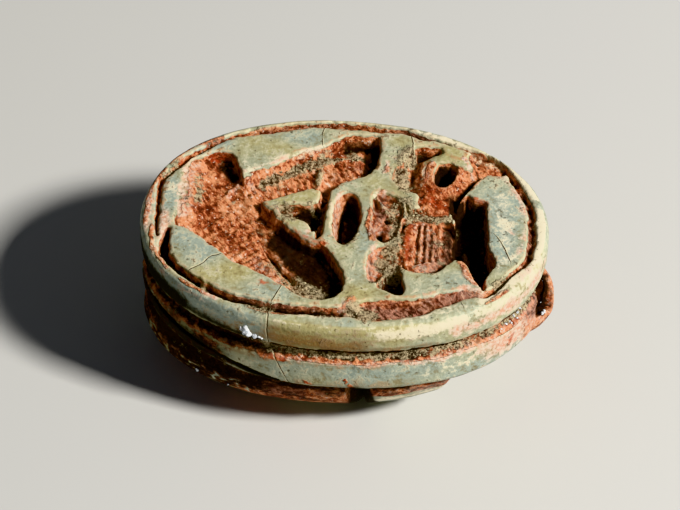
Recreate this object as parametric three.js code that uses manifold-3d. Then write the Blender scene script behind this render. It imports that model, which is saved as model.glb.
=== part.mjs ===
// A scarab amulet carved from one piece of glazed steatite, lying on its back.
// The flat seal face, with its deep sunk carving, looks up, and the beetle's domed back looks down.
// Millimetres. +Z up, +X towards the beetle's head, origin under the middle of the box around the amulet.
import * as THREE from "three";
import { mergeVertices } from "three/addons/utils/BufferGeometryUtils.js";
import Module from "manifold-3d";

const wasm = await Module();
wasm.setup();

// Driving sizes.
const HALF_LENGTH = 8.5;
const HALF_WIDTH = 6.22;
const HEIGHT = 7;
const OVAL_POWER = 2.15;
const HEAD_RADIUS = 2.25;
const HEAD_REACH = 0.42;
const BORE_RADIUS = 0.85;
const BORE_DEPTH = 2.65;

// Depths below the seal face.
const PLATE_DEPTH = 1.42;
const LEG_TOP = 2.12;
const LEG_BOTTOM = 3.75;
const UNDERCUT = 0.05;
const DOME_TOP = 3.95;
const DOME_FALL = 3.11;
const DOME_INSET = 0.4;
const DOME_POWER = 2.3;
const DOME_BACKSET = 0.8;

// The beetle's parts along X, from the middle of the oval.
const WING_CASE_FRONT = 1.2;
const CHEST_FRONT = 5.1;
const HEAD_CENTRE_X = HALF_LENGTH + HEAD_REACH - HEAD_RADIUS;
const HEAD_DEPTH = 3.65;

// The carving is not quite centred on the oval.
const CARVING_Y = -0.19;

// How finely round stretches are divided.
const COLUMNS = 88;
const DOME_ROWS = 9;
const BORE_SIDES = 24;
const CURVE_STEPS = 3;
const CLEAR = 1;
const BEYOND = 10;

const face = (depth) => HEIGHT - depth;

function ovalPoint(a, b, turn, shiftY = 0) {
  const [c, s] = [Math.cos(turn), Math.sin(turn)];
  const soften = (v) => Math.sign(v) * Math.abs(v) ** (2 / OVAL_POWER);
  return [a * soften(c), b * soften(s) + shiftY];
}

// A solid from closed rings of equal length, lowest first, with both ends capped.
function loft(rings) {
  const count = rings[0].length;
  const points = rings.flat();
  const middle = (ring) =>
    [0, 1, 2].map((k) => ring.reduce((sum, p) => sum + p[k], 0) / count);
  const low = points.push(middle(rings[0])) - 1;
  const high = points.push(middle(rings.at(-1))) - 1;
  const index = [];
  rings.forEach((_, row) => {
    for (let i = 0; i < count; i++) {
      const [p, q] = [row * count + i, row * count + ((i + 1) % count)];
      if (row === 0) index.push(low, q, p);
      if (row === rings.length - 1) index.push(high, p, q);
      else index.push(p, q, q + count, p, q + count, p + count);
    }
  });
  const geometry = new THREE.BufferGeometry();
  geometry.setAttribute("position", new THREE.Float32BufferAttribute(points.flat(), 3));
  geometry.setIndex(index);
  return toSolid(geometry);
}

function toSolid(geometry) {
  const bare = geometry.clone();
  bare.deleteAttribute("normal");
  bare.deleteAttribute("uv");
  const merged = mergeVertices(bare, 1e-4);
  return new wasm.Manifold(
    new wasm.Mesh({
      numProp: 3,
      vertProperties: new Float32Array(merged.attributes.position.array),
      triVerts: new Uint32Array(merged.index.array),
    }),
  );
}

const union = (solids) => solids.reduce((all, next) => all.add(next));

// A ring around the body at one depth, drawn in from the full oval by inset.
function bodyRing(depth, inset, share = 1, shiftX = 0) {
  return Array.from({ length: COLUMNS }, (_, i) => {
    const turn = (2 * Math.PI * i) / COLUMNS;
    const [x, y] = ovalPoint((HALF_LENGTH - inset) * share, (HALF_WIDTH - inset) * share, turn);
    return [x + shiftX, y, face(depth)];
  });
}

// The side in profile, from the seal face down: base plate, cord groove, legs, undercut, wing-case edge.
const SIDE_PROFILE = [
  [0, 0.3],
  [0.12, 0.1],
  [0.35, 0],
  [1.2, 0.02],
  [PLATE_DEPTH, 0.14],
  [PLATE_DEPTH + 0.1, 0.5],
  [LEG_TOP - 0.25, 0.52],
  [LEG_TOP, 0.1],
  [LEG_TOP + 0.2, 0.02],
  [LEG_BOTTOM - 0.25, 0.04],
  [LEG_BOTTOM, 0.2],
  [LEG_BOTTOM + UNDERCUT, 0.5],
];

// Rings down the domed back, from its edge to its crown, all drawn in by drop.
// The back is fuller towards the tail, and it ends in a small flat spot that the amulet lies on.
function domeRings(drop = 0) {
  const FLAT_SHARE = 0.8;
  const SHIFT_RISE = 0.6;
  const rings = [];
  for (let k = 0; k <= DOME_ROWS; k++) {
    const rise = Math.sin((Math.PI / 2) * (k / (DOME_ROWS + FLAT_SHARE)));
    const depth = Math.min(DOME_TOP + (DOME_FALL - drop) * rise, HEIGHT);
    const share = (1 - rise ** DOME_POWER) ** (1 / DOME_POWER);
    const shiftX = -DOME_BACKSET * Math.sin((Math.PI / 2) * Math.min(1, rise / SHIFT_RISE));
    rings.push(bodyRing(depth, DOME_INSET + drop, share, shiftX));
  }
  return rings;
}

function makeBody() {
  const rings = SIDE_PROFILE.map(([depth, inset]) => bodyRing(depth, inset));
  return loft([...rings, ...domeRings()].reverse());
}

// A prism over a flat outline, between two depths below the seal face.
function prism(shape, upper, lower) {
  const geometry = new THREE.ExtrudeGeometry(shape, {
    depth: lower - upper,
    bevelEnabled: false,
    curveSegments: CURVE_STEPS,
  });
  return toSolid(geometry.translate(0, 0, face(lower)));
}

function polygon(corners) {
  return new THREE.Shape(corners.map(([x, y]) => new THREE.Vector2(x, y)));
}

function bar(x0, y0, x1, y1) {
  return polygon([[x0, y0], [x1, y0], [x1, y1], [x0, y1]]);
}

function smoothShape(points) {
  const corners = points.map(([x, y]) => new THREE.Vector3(x, y, 0));
  const curve = new THREE.CatmullRomCurve3(corners, true, "centripetal");
  const ring = curve.getPoints(corners.length * CURVE_STEPS).slice(0, -1);
  return new THREE.Shape(ring.map((p) => new THREE.Vector2(p.x, p.y)));
}

function ovalShape(x, y, a, b, tilt = 0) {
  const shape = new THREE.Shape();
  shape.absellipse(x, y, a, b, 0, 2 * Math.PI, false, tilt);
  const ring = shape.getPoints(20).slice(0, -1);
  return new THREE.Shape(ring);
}

// The border line cut round the seal face just inside its rim.
function makeBorderGroove() {
  const [A, B, SHIFT_Y, HALF_CUT, DEPTH] = [7.9, 5.6, 0.3, 0.2, 0.42];
  const line = (offset) =>
    Array.from({ length: COLUMNS }, (_, i) => {
      const [x, y] = ovalPoint(A + offset, B + offset, (2 * Math.PI * i) / COLUMNS, SHIFT_Y);
      return new THREE.Vector2(x, y);
    });
  const shape = new THREE.Shape(line(HALF_CUT));
  shape.holes.push(new THREE.Path(line(-HALF_CUT).reverse()));
  return prism(shape, -CLEAR, DEPTH);
}

// The sunk carving. Each cut is an outline on the face with its depth.
const SUNK_CUTS = {
  wing_bowl: {
    depth: 0.62,
    outline: [[-6.6, 3.1], [-5.7, 3.7], [-5, 3.7], [-4.55, 2.8], [-4.3, 2.1], [-3, 1.1], [-3.4, 0.4], [-2.6, -1.9],
      [-2.2, -3.8], [-3.3, -3], [-4.6, -2.35], [-6.85, -0.65], [-6.75, 0.8], [-6.5, 2]],
  },
  tail_trench: {
    depth: 1.3,
    outline: [[-3.9, 0.75], [-3.05, 0.75], [-2.6, 0], [-1.4, -1], [-0.55, -1.35], [0.15, -2.45], [0.35, -3.4],
      [-0.1, -4.25], [-1.1, -4.3], [-1.7, -3.4], [-2.9, -2]],
  },
  upper_wing: {
    depth: 0.85,
    outline: [[-4.8, 2.2], [-4, 3], [-2.8, 3.75], [-1.4, 4.7], [0.2, 5.35], [1, 5.4], [1.1, 4.4], [0.75, 3.1],
      [-0.2, 2.5], [-0.85, 1.85], [-1.4, 1.9], [-3, 1.15], [-4.2, 1.2]],
  },
  corner_pit: {
    depth: 0.95,
    outline: [[-2.7, 0.75], [-1.15, 1.15], [-1.05, 1.95], [-0.85, 1.8], [-0.9, -0.4], [-1.15, -0.75], [-1.35, 0],
      [-2.1, 0.12]],
  },
  belly_panel: {
    depth: 0.42,
    outline: [[1.1, 2.1], [1.9, 2.2], [2.5, 1.2], [2.4, -0.3], [1.8, -0.9], [1.15, -0.6], [1.02, 0.8]],
  },
  foot_panel: {
    depth: 0.5,
    outline: [[1.5, -1], [2.6, -0.8], [2.75, -2.2], [2, -3], [1.35, -3.2], [1.05, -2.2]],
  },
  foot_pit: {
    depth: 1.05,
    outline: [[2.25, -2.5], [2.65, -2.45], [2.95, -3.3], [2.75, -3.8], [1.75, -3.5]],
  },
  head_surround: {
    depth: 0.85,
    outline: [[2.4, 4.85], [3.1, 5], [3.65, 4.75], [4.7, 4.55], [5.2, 4.85], [6.4, 3.8], [5.7, 3.55], [5.1, 2.45],
      [4.5, 1], [2.5, 0.7], [1.9, 2.3], [1.45, 3.4], [1.9, 4.4]],
  },
  block_bed: {
    depth: 0.9,
    outline: [[2.5, 1], [4.8, 1], [4.9, -1.6], [4.1, -2.35], [2.75, -2.5], [2.45, -1]],
  },
  breast_pit: {
    depth: 1.3,
    outline: [[4.1, 1.3], [5, 2.35], [5.85, 1.9], [6, 0.2], [6.1, -0.9], [6.4, -1.8], [6.2, -3.2], [5.95, -3.1],
      [5.5, -2.3], [5.1, -1.6], [4.7, -1.6], [4.7, 0.7]],
  },
  worn_border: {
    depth: 0.4,
    outline: [[0.7, -4.75], [2, -4.15], [3.6, -3.85], [5, -3.3], [6.3, -3.15], [6.8, -3.1], [5.2, -4.1], [3.4, -4.9],
      [1.2, -5.4]],
  },
};

// Two oval pits: the belly, and the eye in the middle of the round head.
function makeOvalPits() {
  const belly = prism(ovalShape(-0.05, 0.4, 0.7, 1.6), -CLEAR, 1.2);
  const eye = prism(ovalShape(3.85, 3.4, 0.42, 0.68), -CLEAR, 1.1);
  return belly.add(eye);
}

// What stands up inside the sunk cuts: the round head, the hatched block and the small ridge by the trench.
function makeStandingForms() {
  const ROOT = 2;
  const head = prism(ovalShape(3.95, 3.35, 1.15, 1.15), 0.12, ROOT);
  const neck = prism(smoothShape([[3.6, 5.2], [4.8, 5.1], [5, 3.6], [3.6, 4]]), -CLEAR, ROOT);
  const block = prism(smoothShape([[2.6, 0.7], [4.3, 0.65], [4.6, -1.1], [2.7, -1.5]]), 0.35, ROOT);
  const RIDGE = [[-2.95, 0.75], [-2.45, 0.3], [-1.35, -0.25], [-1.4, -0.85], [-2.3, -0.3]];
  const ridge = prism(smoothShape(RIDGE), 0.1, ROOT);
  return union([head, neck, block, ridge]);
}

function makeBlockHatching() {
  const [FIRST_X, PITCH, COUNT, HALF_LINE, DEPTH] = [2.95, 0.36, 4, 0.07, 0.5];
  const lines = Array.from({ length: COUNT }, (_, i) => {
    const x = FIRST_X + PITCH * i;
    return prism(bar(x - HALF_LINE, -1.2, x + HALF_LINE, 0.55), 0, DEPTH);
  });
  return union(lines);
}

function makeSealCarving() {
  const cuts = Object.values(SUNK_CUTS).map(({ depth, outline }) => prism(smoothShape(outline), -CLEAR, depth));
  const sunk = union(cuts).subtract(makeStandingForms());
  return union([sunk, makeOvalPits(), makeBorderGroove(), makeBlockHatching()]).translate([0, CARVING_Y, 0]);
}

// The lines that part the wing cases and the chest, of even depth, and the notch where they meet at each side.
function makeBackLines() {
  const [LINE_DEPTH, HALF_LINE] = [0.24, 0.1];
  const inside = loft([...domeRings(LINE_DEPTH).reverse(), bodyRing(LEG_BOTTOM - CLEAR, DOME_INSET + LINE_DEPTH)]);
  const middle = bar(-BEYOND, -HALF_LINE, WING_CASE_FRONT, HALF_LINE);
  const across = bar(WING_CASE_FRONT - HALF_LINE, -BEYOND, WING_CASE_FRONT + HALF_LINE, BEYOND);
  const lines = [middle, across].map((line) => prism(line, LEG_BOTTOM, HEIGHT + CLEAR).subtract(inside));
  const [NOTCH_HALF, NOTCH_TIP_Y] = [0.7, 4.3];
  const notches = [-1, 1].map((side) => {
    const mouth = side * (HALF_WIDTH + CLEAR);
    const corners = [
      [WING_CASE_FRONT - NOTCH_HALF, mouth],
      [WING_CASE_FRONT + NOTCH_HALF, mouth],
      [WING_CASE_FRONT, side * NOTCH_TIP_Y],
    ];
    return prism(polygon(side > 0 ? corners : corners.reverse()), LEG_BOTTOM + UNDERCUT, HEIGHT + CLEAR);
  });
  return union([...lines, ...notches]);
}

// A round form on the underside: where it stands, its half-length and half-width, and how far it bulges down.
function bulge(x, y, halfLength, halfWidth, fall) {
  const SEGMENTS = 20;
  const ball = new THREE.SphereGeometry(1, SEGMENTS, SEGMENTS / 2);
  ball.rotateX(Math.PI / 2).scale(halfLength, halfWidth, fall);
  return toSolid(ball.translate(x, y, face(HEAD_DEPTH)));
}

// The head stands clear in front of the chest, whose front leans back: a shield, the crown and two eyes.
function addHead(body) {
  const LEAN = 0.4;
  const block = new THREE.BoxGeometry(BEYOND, 2 * BEYOND, BEYOND);
  block.translate(BEYOND / 2, 0, -BEYOND / 2).rotateY(LEAN);
  const room = toSolid(block.translate(CHEST_FRONT, 0, face(LEG_BOTTOM + UNDERCUT)));
  const underLegs = prism(bar(0, -BEYOND, BEYOND, BEYOND), LEG_BOTTOM + UNDERCUT, HEIGHT + BEYOND);
  const shield = bulge(HEAD_CENTRE_X, 0, HEAD_RADIUS, HEAD_RADIUS, 1.3);
  const crown = bulge(5.4, 0, 1.9, 2.3, 2.2);
  const eyes = [-1, 1].map((side) => bulge(5.7, side * 2.45, 0.95, 0.65, 1.6));
  return union([body.subtract(room.intersect(underLegs)), shield, crown, ...eyes]);
}

// The hole for the cord runs the whole length, with a widened mouth at each end.
function makeBore() {
  const along = (radius, length, x) => {
    const rod = new THREE.CylinderGeometry(radius, radius, length, BORE_SIDES);
    return toSolid(rod.rotateZ(Math.PI / 2).translate(x, 0, face(BORE_DEPTH)));
  };
  const [MOUTH_RADIUS, FRONT_MOUTH, BACK_MOUTH] = [1.12, 8, -8.2];
  return union([
    along(BORE_RADIUS, 2 * BEYOND, 0),
    along(MOUTH_RADIUS, 2 * CLEAR, FRONT_MOUTH + CLEAR),
    along(MOUTH_RADIUS, 2 * CLEAR, BACK_MOUTH - CLEAR),
  ]);
}

// Slanting cuts that part the three legs on each side.
function makeLegCuts() {
  const [REACH, THICK, OVERRUN] = [0.22, 0.22, 0.6];
  const cut = (x, lean, side) => {
    const y = HALF_WIDTH * (1 - Math.abs(x / HALF_LENGTH) ** OVAL_POWER) ** (1 / OVAL_POWER);
    const slope = Math.atan2(x / HALF_LENGTH ** 2, y / HALF_WIDTH ** 2);
    const blade = new THREE.BoxGeometry(THICK, 2 * REACH, LEG_BOTTOM - LEG_TOP + OVERRUN);
    blade.rotateY(lean).rotateZ(-side * slope);
    return toSolid(blade.translate(x, side * y, face((LEG_TOP + LEG_BOTTOM) / 2)));
  };
  const places = [[-3.6, 0.5], [0.85, 0.25], [6.9, -0.2]];
  return union(places.flatMap(([x, lean]) => [cut(x, lean, -1), cut(x, lean, 1)]));
}

function makeAmulet() {
  const cuts = union([makeSealCarving(), makeBackLines(), makeBore(), makeLegCuts()]);
  return addHead(makeBody()).subtract(cuts);
}

function toMesh(solid, name, material) {
  const { vertProperties, triVerts } = solid.getMesh();
  const geometry = new THREE.BufferGeometry();
  geometry.setAttribute("position", new THREE.BufferAttribute(vertProperties, 3));
  geometry.setIndex(new THREE.BufferAttribute(triVerts, 1));
  const mesh = new THREE.Mesh(geometry, material);
  mesh.name = name;
  return mesh;
}

const glazedStone = new THREE.MeshStandardMaterial({ color: 0xb4b295, roughness: 0.5, metalness: 0 });
const amulet = toMesh(makeAmulet(), "scarab_amulet", glazedStone);
amulet.position.x = -HEAD_REACH / 2;

const group = new THREE.Group();
group.add(amulet);
export default group;
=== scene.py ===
"""A scarab amulet of glazed steatite, lying on its domed back with its deeply carved seal face up.

Laid out as a Blender add-on and run as a script. The stone is worked out as a block of distances, in the
way a carver would take it down: the oval body first, then the cord hole, the beetle's lines and the sunk
carving, whose depth comes from a plan of the seal face. Sizes in this file are millimetres from the middle
of the oval, with +X towards the beetle's head and depth counted down from the seal face, until a mesh is
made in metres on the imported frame.
"""

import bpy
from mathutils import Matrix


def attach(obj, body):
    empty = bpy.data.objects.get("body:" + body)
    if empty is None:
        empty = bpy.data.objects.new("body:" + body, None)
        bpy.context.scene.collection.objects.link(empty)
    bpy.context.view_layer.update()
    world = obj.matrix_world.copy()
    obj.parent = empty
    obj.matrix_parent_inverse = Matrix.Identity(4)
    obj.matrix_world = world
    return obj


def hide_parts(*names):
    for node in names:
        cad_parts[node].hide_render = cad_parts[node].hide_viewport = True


bl_info = {
    "name": "Scarab Amulet",
    "version": (1, 0, 0),
    "blender": (4, 5, 0),
    "location": "View3D > Sidebar > Amulet",
    "description": "Builds a carved scarab amulet with its stained glaze with painted light and burial soil",
    "category": "Add Mesh",
}

import math

import bpy
import numpy as np
from bpy.props import FloatProperty, FloatVectorProperty, IntProperty, PointerProperty
from mathutils import Matrix, Vector

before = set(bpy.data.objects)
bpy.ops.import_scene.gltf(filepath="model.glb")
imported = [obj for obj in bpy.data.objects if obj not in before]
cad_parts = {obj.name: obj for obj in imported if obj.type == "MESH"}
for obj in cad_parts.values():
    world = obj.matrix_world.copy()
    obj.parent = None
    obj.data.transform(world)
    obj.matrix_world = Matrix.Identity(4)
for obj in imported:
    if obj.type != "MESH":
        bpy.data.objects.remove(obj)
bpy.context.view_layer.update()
STONE_NODE = "scarab_amulet"
STONE_PIECE = "carved_scarab"

# The part's own sizes. The cord groove starts a little lower than in the solid and ends a little higher.
HALF_LENGTH = 8.5
HALF_WIDTH = 6.22
HEIGHT = 7.0
OVAL_POWER = 2.15
HEAD_RADIUS = 2.25
HEAD_REACH = 0.42
BORE_RADIUS = 0.85
BORE_DEPTH = 2.65
MOUTH_RADIUS = 1.12
FRONT_MOUTH = 8.0
BACK_MOUTH = -8.2
PLATE_DEPTH = 1.5
LEG_TOP = 2.08
LEG_BOTTOM = 3.75
UNDERCUT = 0.05
DOME_TOP = 3.95
DOME_FALL = 3.11
DOME_INSET = 0.4
DOME_POWER = 2.3
DOME_BACKSET = 0.8
WING_CASE_FRONT = 1.2
CHEST_FRONT = 5.1
CHEST_LEAN = 0.4
CHEST_DEPTH = 3.8
BACK_START = 3.5
WING_LINE_HALF_WIDTH = 0.11
WING_LINE_LEAN = 0.45
WING_LINE_BOW = 0.25
NOTCH_START = 4.3
NOTCH_SPREAD = 0.37
HEAD_DEPTH = 3.65
SHIELD_HEIGHT = 1.25
CROWN_X = 5.4
CROWN_RADII = (1.9, 2.3, 2.15)
EYE_X = 5.7
EYE_Y = 2.45
EYE_RADII = (0.95, 0.62, 1.55)
LEG_LINE_HALF_WIDTH = 0.08
CARVING_Y = -0.19
FRAME_X = -HEAD_REACH / 2

# The lines that part the legs: where each stands along the side, and how much it slants.
LEG_LINES = ((-3.6, 0.5), (0.85, 0.25), (6.9, -0.2))

# The torn edge of the near legs: where it starts, its depth there, and how much it rises to the tail.
WEDGE_START = -1.6
WEDGE_DEPTH = 3.72
WEDGE_RISE = 0.21

# What has broken out of the front mouth, above and on the near side: middle and half sizes of each piece.
UPPER_BREAK = ((8.06, 0.35, 3.72), (0.34, 0.85, 0.42))
NEAR_BREAK = ((8.16, -0.75, 2.78), (0.55, 1.0, 0.85))

# The stained room round the near break is a little larger than the break itself.
NEAR_BREAK_STAIN = (0.6, 1.08, 0.92)

# The side in profile: depth and how far it is drawn in from the full oval.
SIDE_PROFILE = [
    (0.0, 0.26),
    (0.12, 0.08),
    (0.35, 0.0),
    (1.2, 0.02),
    (PLATE_DEPTH, 0.12),
    (PLATE_DEPTH + 0.06, 0.3),
    (LEG_TOP - 0.16, 0.32),
    (LEG_TOP, 0.12),
    (LEG_TOP + 0.18, 0.02),
    (LEG_BOTTOM - 0.25, 0.04),
    (LEG_BOTTOM, 0.2),
    (LEG_BOTTOM + UNDERCUT, 0.5),
]

# The sunk carving: outline on the face, depth, and how far its walls lean in for each mm of depth.
SUNK_CUTS = {
    "wing_bowl": (
        [
            (-6.8, 3.05), (-6.3, 3.5), (-5.75, 3.78), (-5.25, 3.8), (-4.9, 3.5), (-4.7, 3.05),
            (-4.5, 2.6), (-4.1, 1.9), (-3.6, 1.4), (-3.3, 0.2), (-2.6, -1.9), (-2.15, -3.72),
            (-2.7, -3.42), (-3.3, -3.08), (-3.9, -2.8), (-4.45, -2.5), (-4.9, -2.1), (-5.4, -1.72),
            (-6, -1.24), (-6.5, -0.92), (-6.95, -0.68), (-7.05, 0.5), (-7, 2),
        ],
        0.6, 0.15,
    ),
    "tail_trench": (
        [
            (-4, 0.6), (-3.6, 0.9), (-3.1, 0.65), (-2.75, 0.15), (-2.3, -0.3), (-1.9, -0.68),
            (-1.5, -1.02), (-1.1, -1.22), (-0.7, -1.32), (-0.4, -1.65), (-0.1, -2.1), (0.2, -2.6),
            (0.38, -3.2), (0.32, -3.85), (-0.05, -4.3), (-0.6, -4.52), (-1.4, -4.28), (-2.05, -3.8),
            (-2.9, -2.3), (-3.8, -0.6),
        ],
        1.5, 0.08,
    ),
    "upper_wing": (
        [
            (-4.8, 2.2), (-4.38, 2.75), (-3.9, 3.05), (-3.3, 3.35), (-2.85, 3.72), (-2.4, 4.15),
            (-1.8, 4.42), (-1.25, 4.72), (-0.8, 5.1), (-0.4, 5.35), (0.2, 5.47), (0.95, 5.5), (1.12, 5),
            (1.1, 4.2), (0.92, 3.45), (0.6, 2.98), (0.1, 2.7), (-0.35, 2.42), (-0.68, 2), (-0.85, 1.6),
            (-1.3, 2), (-2, 1.78), (-2.7, 1.4), (-3.3, 1.05), (-4.2, 1.2),
        ],
        0.8, 0.25,
    ),
    "side_gap": (
        [
            (-1.15, 2.3), (-0.75, 2.1), (-0.72, 1.2), (-0.76, 0.2), (-0.85, -0.75), (-1.08, -1),
            (-1.22, -0.4), (-1.15, 0.8),
        ],
        0.5, 0.3,
    ),
    "corner_pit": (
        [
            (-2.72, 0.75), (-2.2, 0.98), (-1.6, 0.98), (-1.2, 1.2), (-1, 0.9), (-1.05, -0.1),
            (-1.28, -0.6), (-1.5, -0.12), (-1.9, 0.05), (-2.45, 0.25),
        ],
        1.05, 0.12,
    ),
    "belly_panel": (
        [
            (1.08, 2.08), (1.5, 2.15), (1.95, 2), (2.4, 1.45), (2.42, 0.4), (2.3, -0.4), (1.85, -0.92),
            (1.5, -0.75), (1.2, -0.3), (1.02, 0.8),
        ],
        0.4, 0.4,
    ),
    "foot_panel": (
        [
            (1.5, -1.1), (2.1, -0.9), (2.5, -1), (2.75, -1.9), (2.5, -2.5), (2, -2.9), (1.7, -3.3),
            (1.38, -3.2), (1.12, -2.3), (1.15, -1.5),
        ],
        0.4, 0.5,
    ),
    "foot_pit": (
        [
            (2.1, -2.42), (2.6, -2.42), (2.68, -2.8), (2.82, -3.2), (2.92, -3.5), (2.82, -3.8),
            (1.82, -3.52), (1.78, -3.2), (2, -2.8),
        ],
        1.1, 0.08,
    ),
    "head_surround": (
        [
            (2.25, 4.5), (2.5, 4.98), (3.1, 5.06), (3.62, 5), (3.8, 4.6), (4.7, 4.4), (4.72, 4.75),
            (5.2, 4.88), (5.8, 4.58), (6.3, 4.1), (6.5, 3.72), (6.25, 3.52), (5.75, 3.55), (5.4, 3.25),
            (5.1, 2.6), (4.9, 2.2), (4.6, 1.4), (4.2, 1.12), (3.2, 1.15), (2.95, 1.7), (2.9, 2.1),
            (2.4, 2.25), (2, 2.5), (1.72, 3), (1.75, 3.6), (2, 4.1),
        ],
        0.8, 0.3,
    ),
    "waist_strip": (
        [
            (2.45, 1.62), (2.65, 1.3), (3.2, 1.35), (4.3, 1.35), (4.6, 0.9), (4.2, 0.6), (2.6, 0.62),
            (2.42, 1),
        ],
        0.45, 0.2,
    ),
    "block_bed": (
        [
            (2.42, 0.72), (3.4, 0.82), (4.3, 0.72), (4.75, 0.2), (4.85, -0.9), (4.7, -1.62), (4.3, -2.1),
            (4.05, -2.42), (3.4, -2.45), (2.75, -2.3), (2.5, -1.3),
        ],
        0.8, 0.12,
    ),
    "breast_pit": (
        [
            (4.3, 1.35), (4.7, 1.9), (5.05, 2.3), (5.3, 2.02), (5.72, 1.98), (5.85, 1.5), (5.98, 0.7),
            (6.02, 0), (6.05, -0.6), (6.22, -1.1), (6.42, -1.6), (6.3, -2.05), (6.1, -2.5), (6.12, -3.2),
            (5.92, -3), (5.62, -2.5), (5.42, -2), (5.15, -1.65), (4.75, -1.5), (4.6, -0.5), (4.55, 0.7),
        ],
        1.3, 0.08,
    ),
    "worn_border": (
        [
            (0.62, -4.72), (1.3, -4.3), (2.3, -4.06), (3.4, -3.9), (4.5, -3.5), (5.3, -3.2), (6, -3.28),
            (6.35, -3.45), (6.1, -3.62), (5.5, -3.82), (4.6, -4.4), (3.9, -4.8), (3, -5.2), (2.2, -5.36),
            (1.2, -5.48), (0.6, -5.2),
        ],
        0.36, 0.55,
    ),
}

# What stands up inside the sunk carving: outline, the depth of its top, how far its sides spread per mm.
STANDING_FORMS = {
    "head": (
        [
            (3.28, 4.2), (3.55, 4.5), (3.76, 4.8), (3.8, 5.3), (4.65, 5.2), (4.75, 4.5), (4.98, 4),
            (5.24, 3.5), (5.2, 3), (4.85, 2.62), (4.3, 2.4), (4, 2.35), (3.6, 2.4), (3.4, 2.7),
            (3.25, 3.2), (3.2, 3.8),
        ],
        0.03, 0.75,
    ),
    "neck": ([(3.1, 2.3), (4.3, 2.2), (4.2, 1.5), (3.2, 1.45)], 0.3, 0.4),
    "hatched_block": ([(2.62, 0.6), (4.3, 0.55), (4.5, -0.4), (4.2, -1.9), (2.85, -2.1)], 0.28, 0.25),
}

# Swells (less deep) and dips (deeper) along short lines on the cut floors: ends, half width, depth change.
FLOOR_FORMS = {
    "bowl corner": (-5.3, 3.4, -4.95, 2.95, 0.45, 0.16),
    "bowl ridge": (-4.45, 2.9, -4.95, 1.8, 0.13, -0.09),
    "bowl ridge foot": (-4.95, 1.8, -5.6, 0.6, 0.2, -0.05),
    "band rib": (-1.3, 3.4, -1.32, 2.2, 0.13, -0.16),
    "band end hollow": (0.78, 5.2, 0.62, 3.2, 0.26, 0.4),
    "band top rib": (0.62, 5.35, 0.6, 5.0, 0.09, -0.3),
    "band root": (-4.3, 2.2, -3.7, 1.5, 0.5, -0.2),
    "trench ledge": (-2.7, -1.75, -1.3, -3.25, 0.1, -0.16),
    "trench ledge groove": (-3.2, -1.3, -1.75, -3.0, 0.11, 0.16),
    "upper streak": (-3.7, -1.5, -2.0, -3.35, 0.06, -0.08),
    "lower streak": (-4.1, -1.7, -2.3, -3.45, 0.06, -0.07),
    "left recess": (2.55, 4.1, 2.55, 2.7, 0.22, 0.2),
    "belly hole": (1.74, 0.78, 1.8, 0.68, 0.1, 0.4),
    "belly lower hole": (1.5, -0.1, 1.75, -0.75, 0.13, 0.45),
    "belly ridge": (1.15, 1.95, 1.5, 1.3, 0.09, -0.25),
    "belly knob": (1.6, 1.4, 1.75, 1.1, 0.12, -0.15),
    "breast shelf": (5.1, -0.4, 5.2, -1.2, 0.2, -0.35),
}

# Evenly spaced strokes on the floors: start, end, how far the strokes reach, how many to a mm, depth.
STROKES = {
    "upper wing feathers": (-3.9, 2.1, -0.2, 3.8, 0.7, 3.6, 0.035),
    "lower wing feathers": (-6.0, 0.2, -3.2, -2.4, 1.0, 2.9, 0.018),
}

# The lines of the border: points, half width at each. The upper one is cut less deep towards its ends.
BORDER_TOP = [
    (-7.6, -1.45, 0.09), (-7.78, -0.7, 0.12), (-7.8, 0.2, 0.14), (-7.85, 1.1, 0.14), (-7.8, 1.9, 0.16),
    (-7.5, 2.55, 0.16), (-7.1, 3.1, 0.18), (-6.5, 3.78, 0.13), (-6, 4.25, 0.15), (-5.5, 4.62, 0.12),
    (-5, 4.93, 0.14), (-4, 5.24, 0.18), (-3, 5.57, 0.2), (-2, 5.86, 0.18), (-1, 5.93, 0.2),
    (0, 5.92, 0.21), (1, 5.92, 0.19), (2, 5.83, 0.17), (2.7, 5.62, 0.13), (3.5, 5.38, 0.06),
    (4.2, 5.2, 0.07), (4.8, 5, 0.13), (5.6, 4.7, 0.2), (6.3, 4.1, 0.2), (6.77, 3.42, 0.18),
    (7.14, 2.77, 0.19), (7.47, 2.08, 0.19), (7.7, 1.38, 0.19), (7.79, 0.6, 0.2), (7.83, -0.3, 0.2),
    (7.82, -1.08, 0.18), (7.54, -1.68, 0.17), (7.16, -2.12, 0.16), (6.87, -2.68, 0.16), (6.5, -3.2, 0.16),
    (6.1, -3.5, 0.18),
]
BORDER_BOTTOM = [
    (-7.18, -0.95, 0.12), (-7.22, -1.7, 0.22), (-7.18, -2.4, 0.24), (-6.72, -3.1, 0.2),
    (-6.2, -3.55, 0.2), (-5.5, -4.02, 0.22), (-4.8, -4.45, 0.22), (-4, -4.8, 0.22), (-3, -4.95, 0.24),
    (-2, -5.08, 0.25), (-1, -5.13, 0.27), (0, -5.17, 0.28), (0.8, -5.05, 0.33),
]

# Where the tail trench turns, and the direction across it.
TRENCH_CORNER = (-2.9, 0.4)
TRENCH_SIDE = (0.826, 0.563)

# The border's depth, how much less it is at the ends and where those begin, then the pits and the hatching.
BORDER_DEPTH = 0.5
BORDER_RISE = 0.18
BORDER_ENDS = (6.2, 7.2)
BELLY_PIT = (0.03, 0.4, 0.6, 1.58)
BELLY_PIT_DEPTH = 1.25
EYE_PIT = [
    (3.58, 4), (4.05, 4.12), (4.36, 3.9), (4.34, 3.2), (4.02, 2.74), (3.66, 2.7), (3.46, 3.1), (3.5, 3.6),
]
EYE_PIT_DEPTH = 1.05
HATCH_FIRST_X = 3.08
HATCH_PITCH = 0.26
HATCH_COUNT = 5
HATCH_DEPTH = 0.17
HATCH_HALF_WIDTH = 0.07
HATCH_ENDS = (0.55, -1.75)

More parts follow.
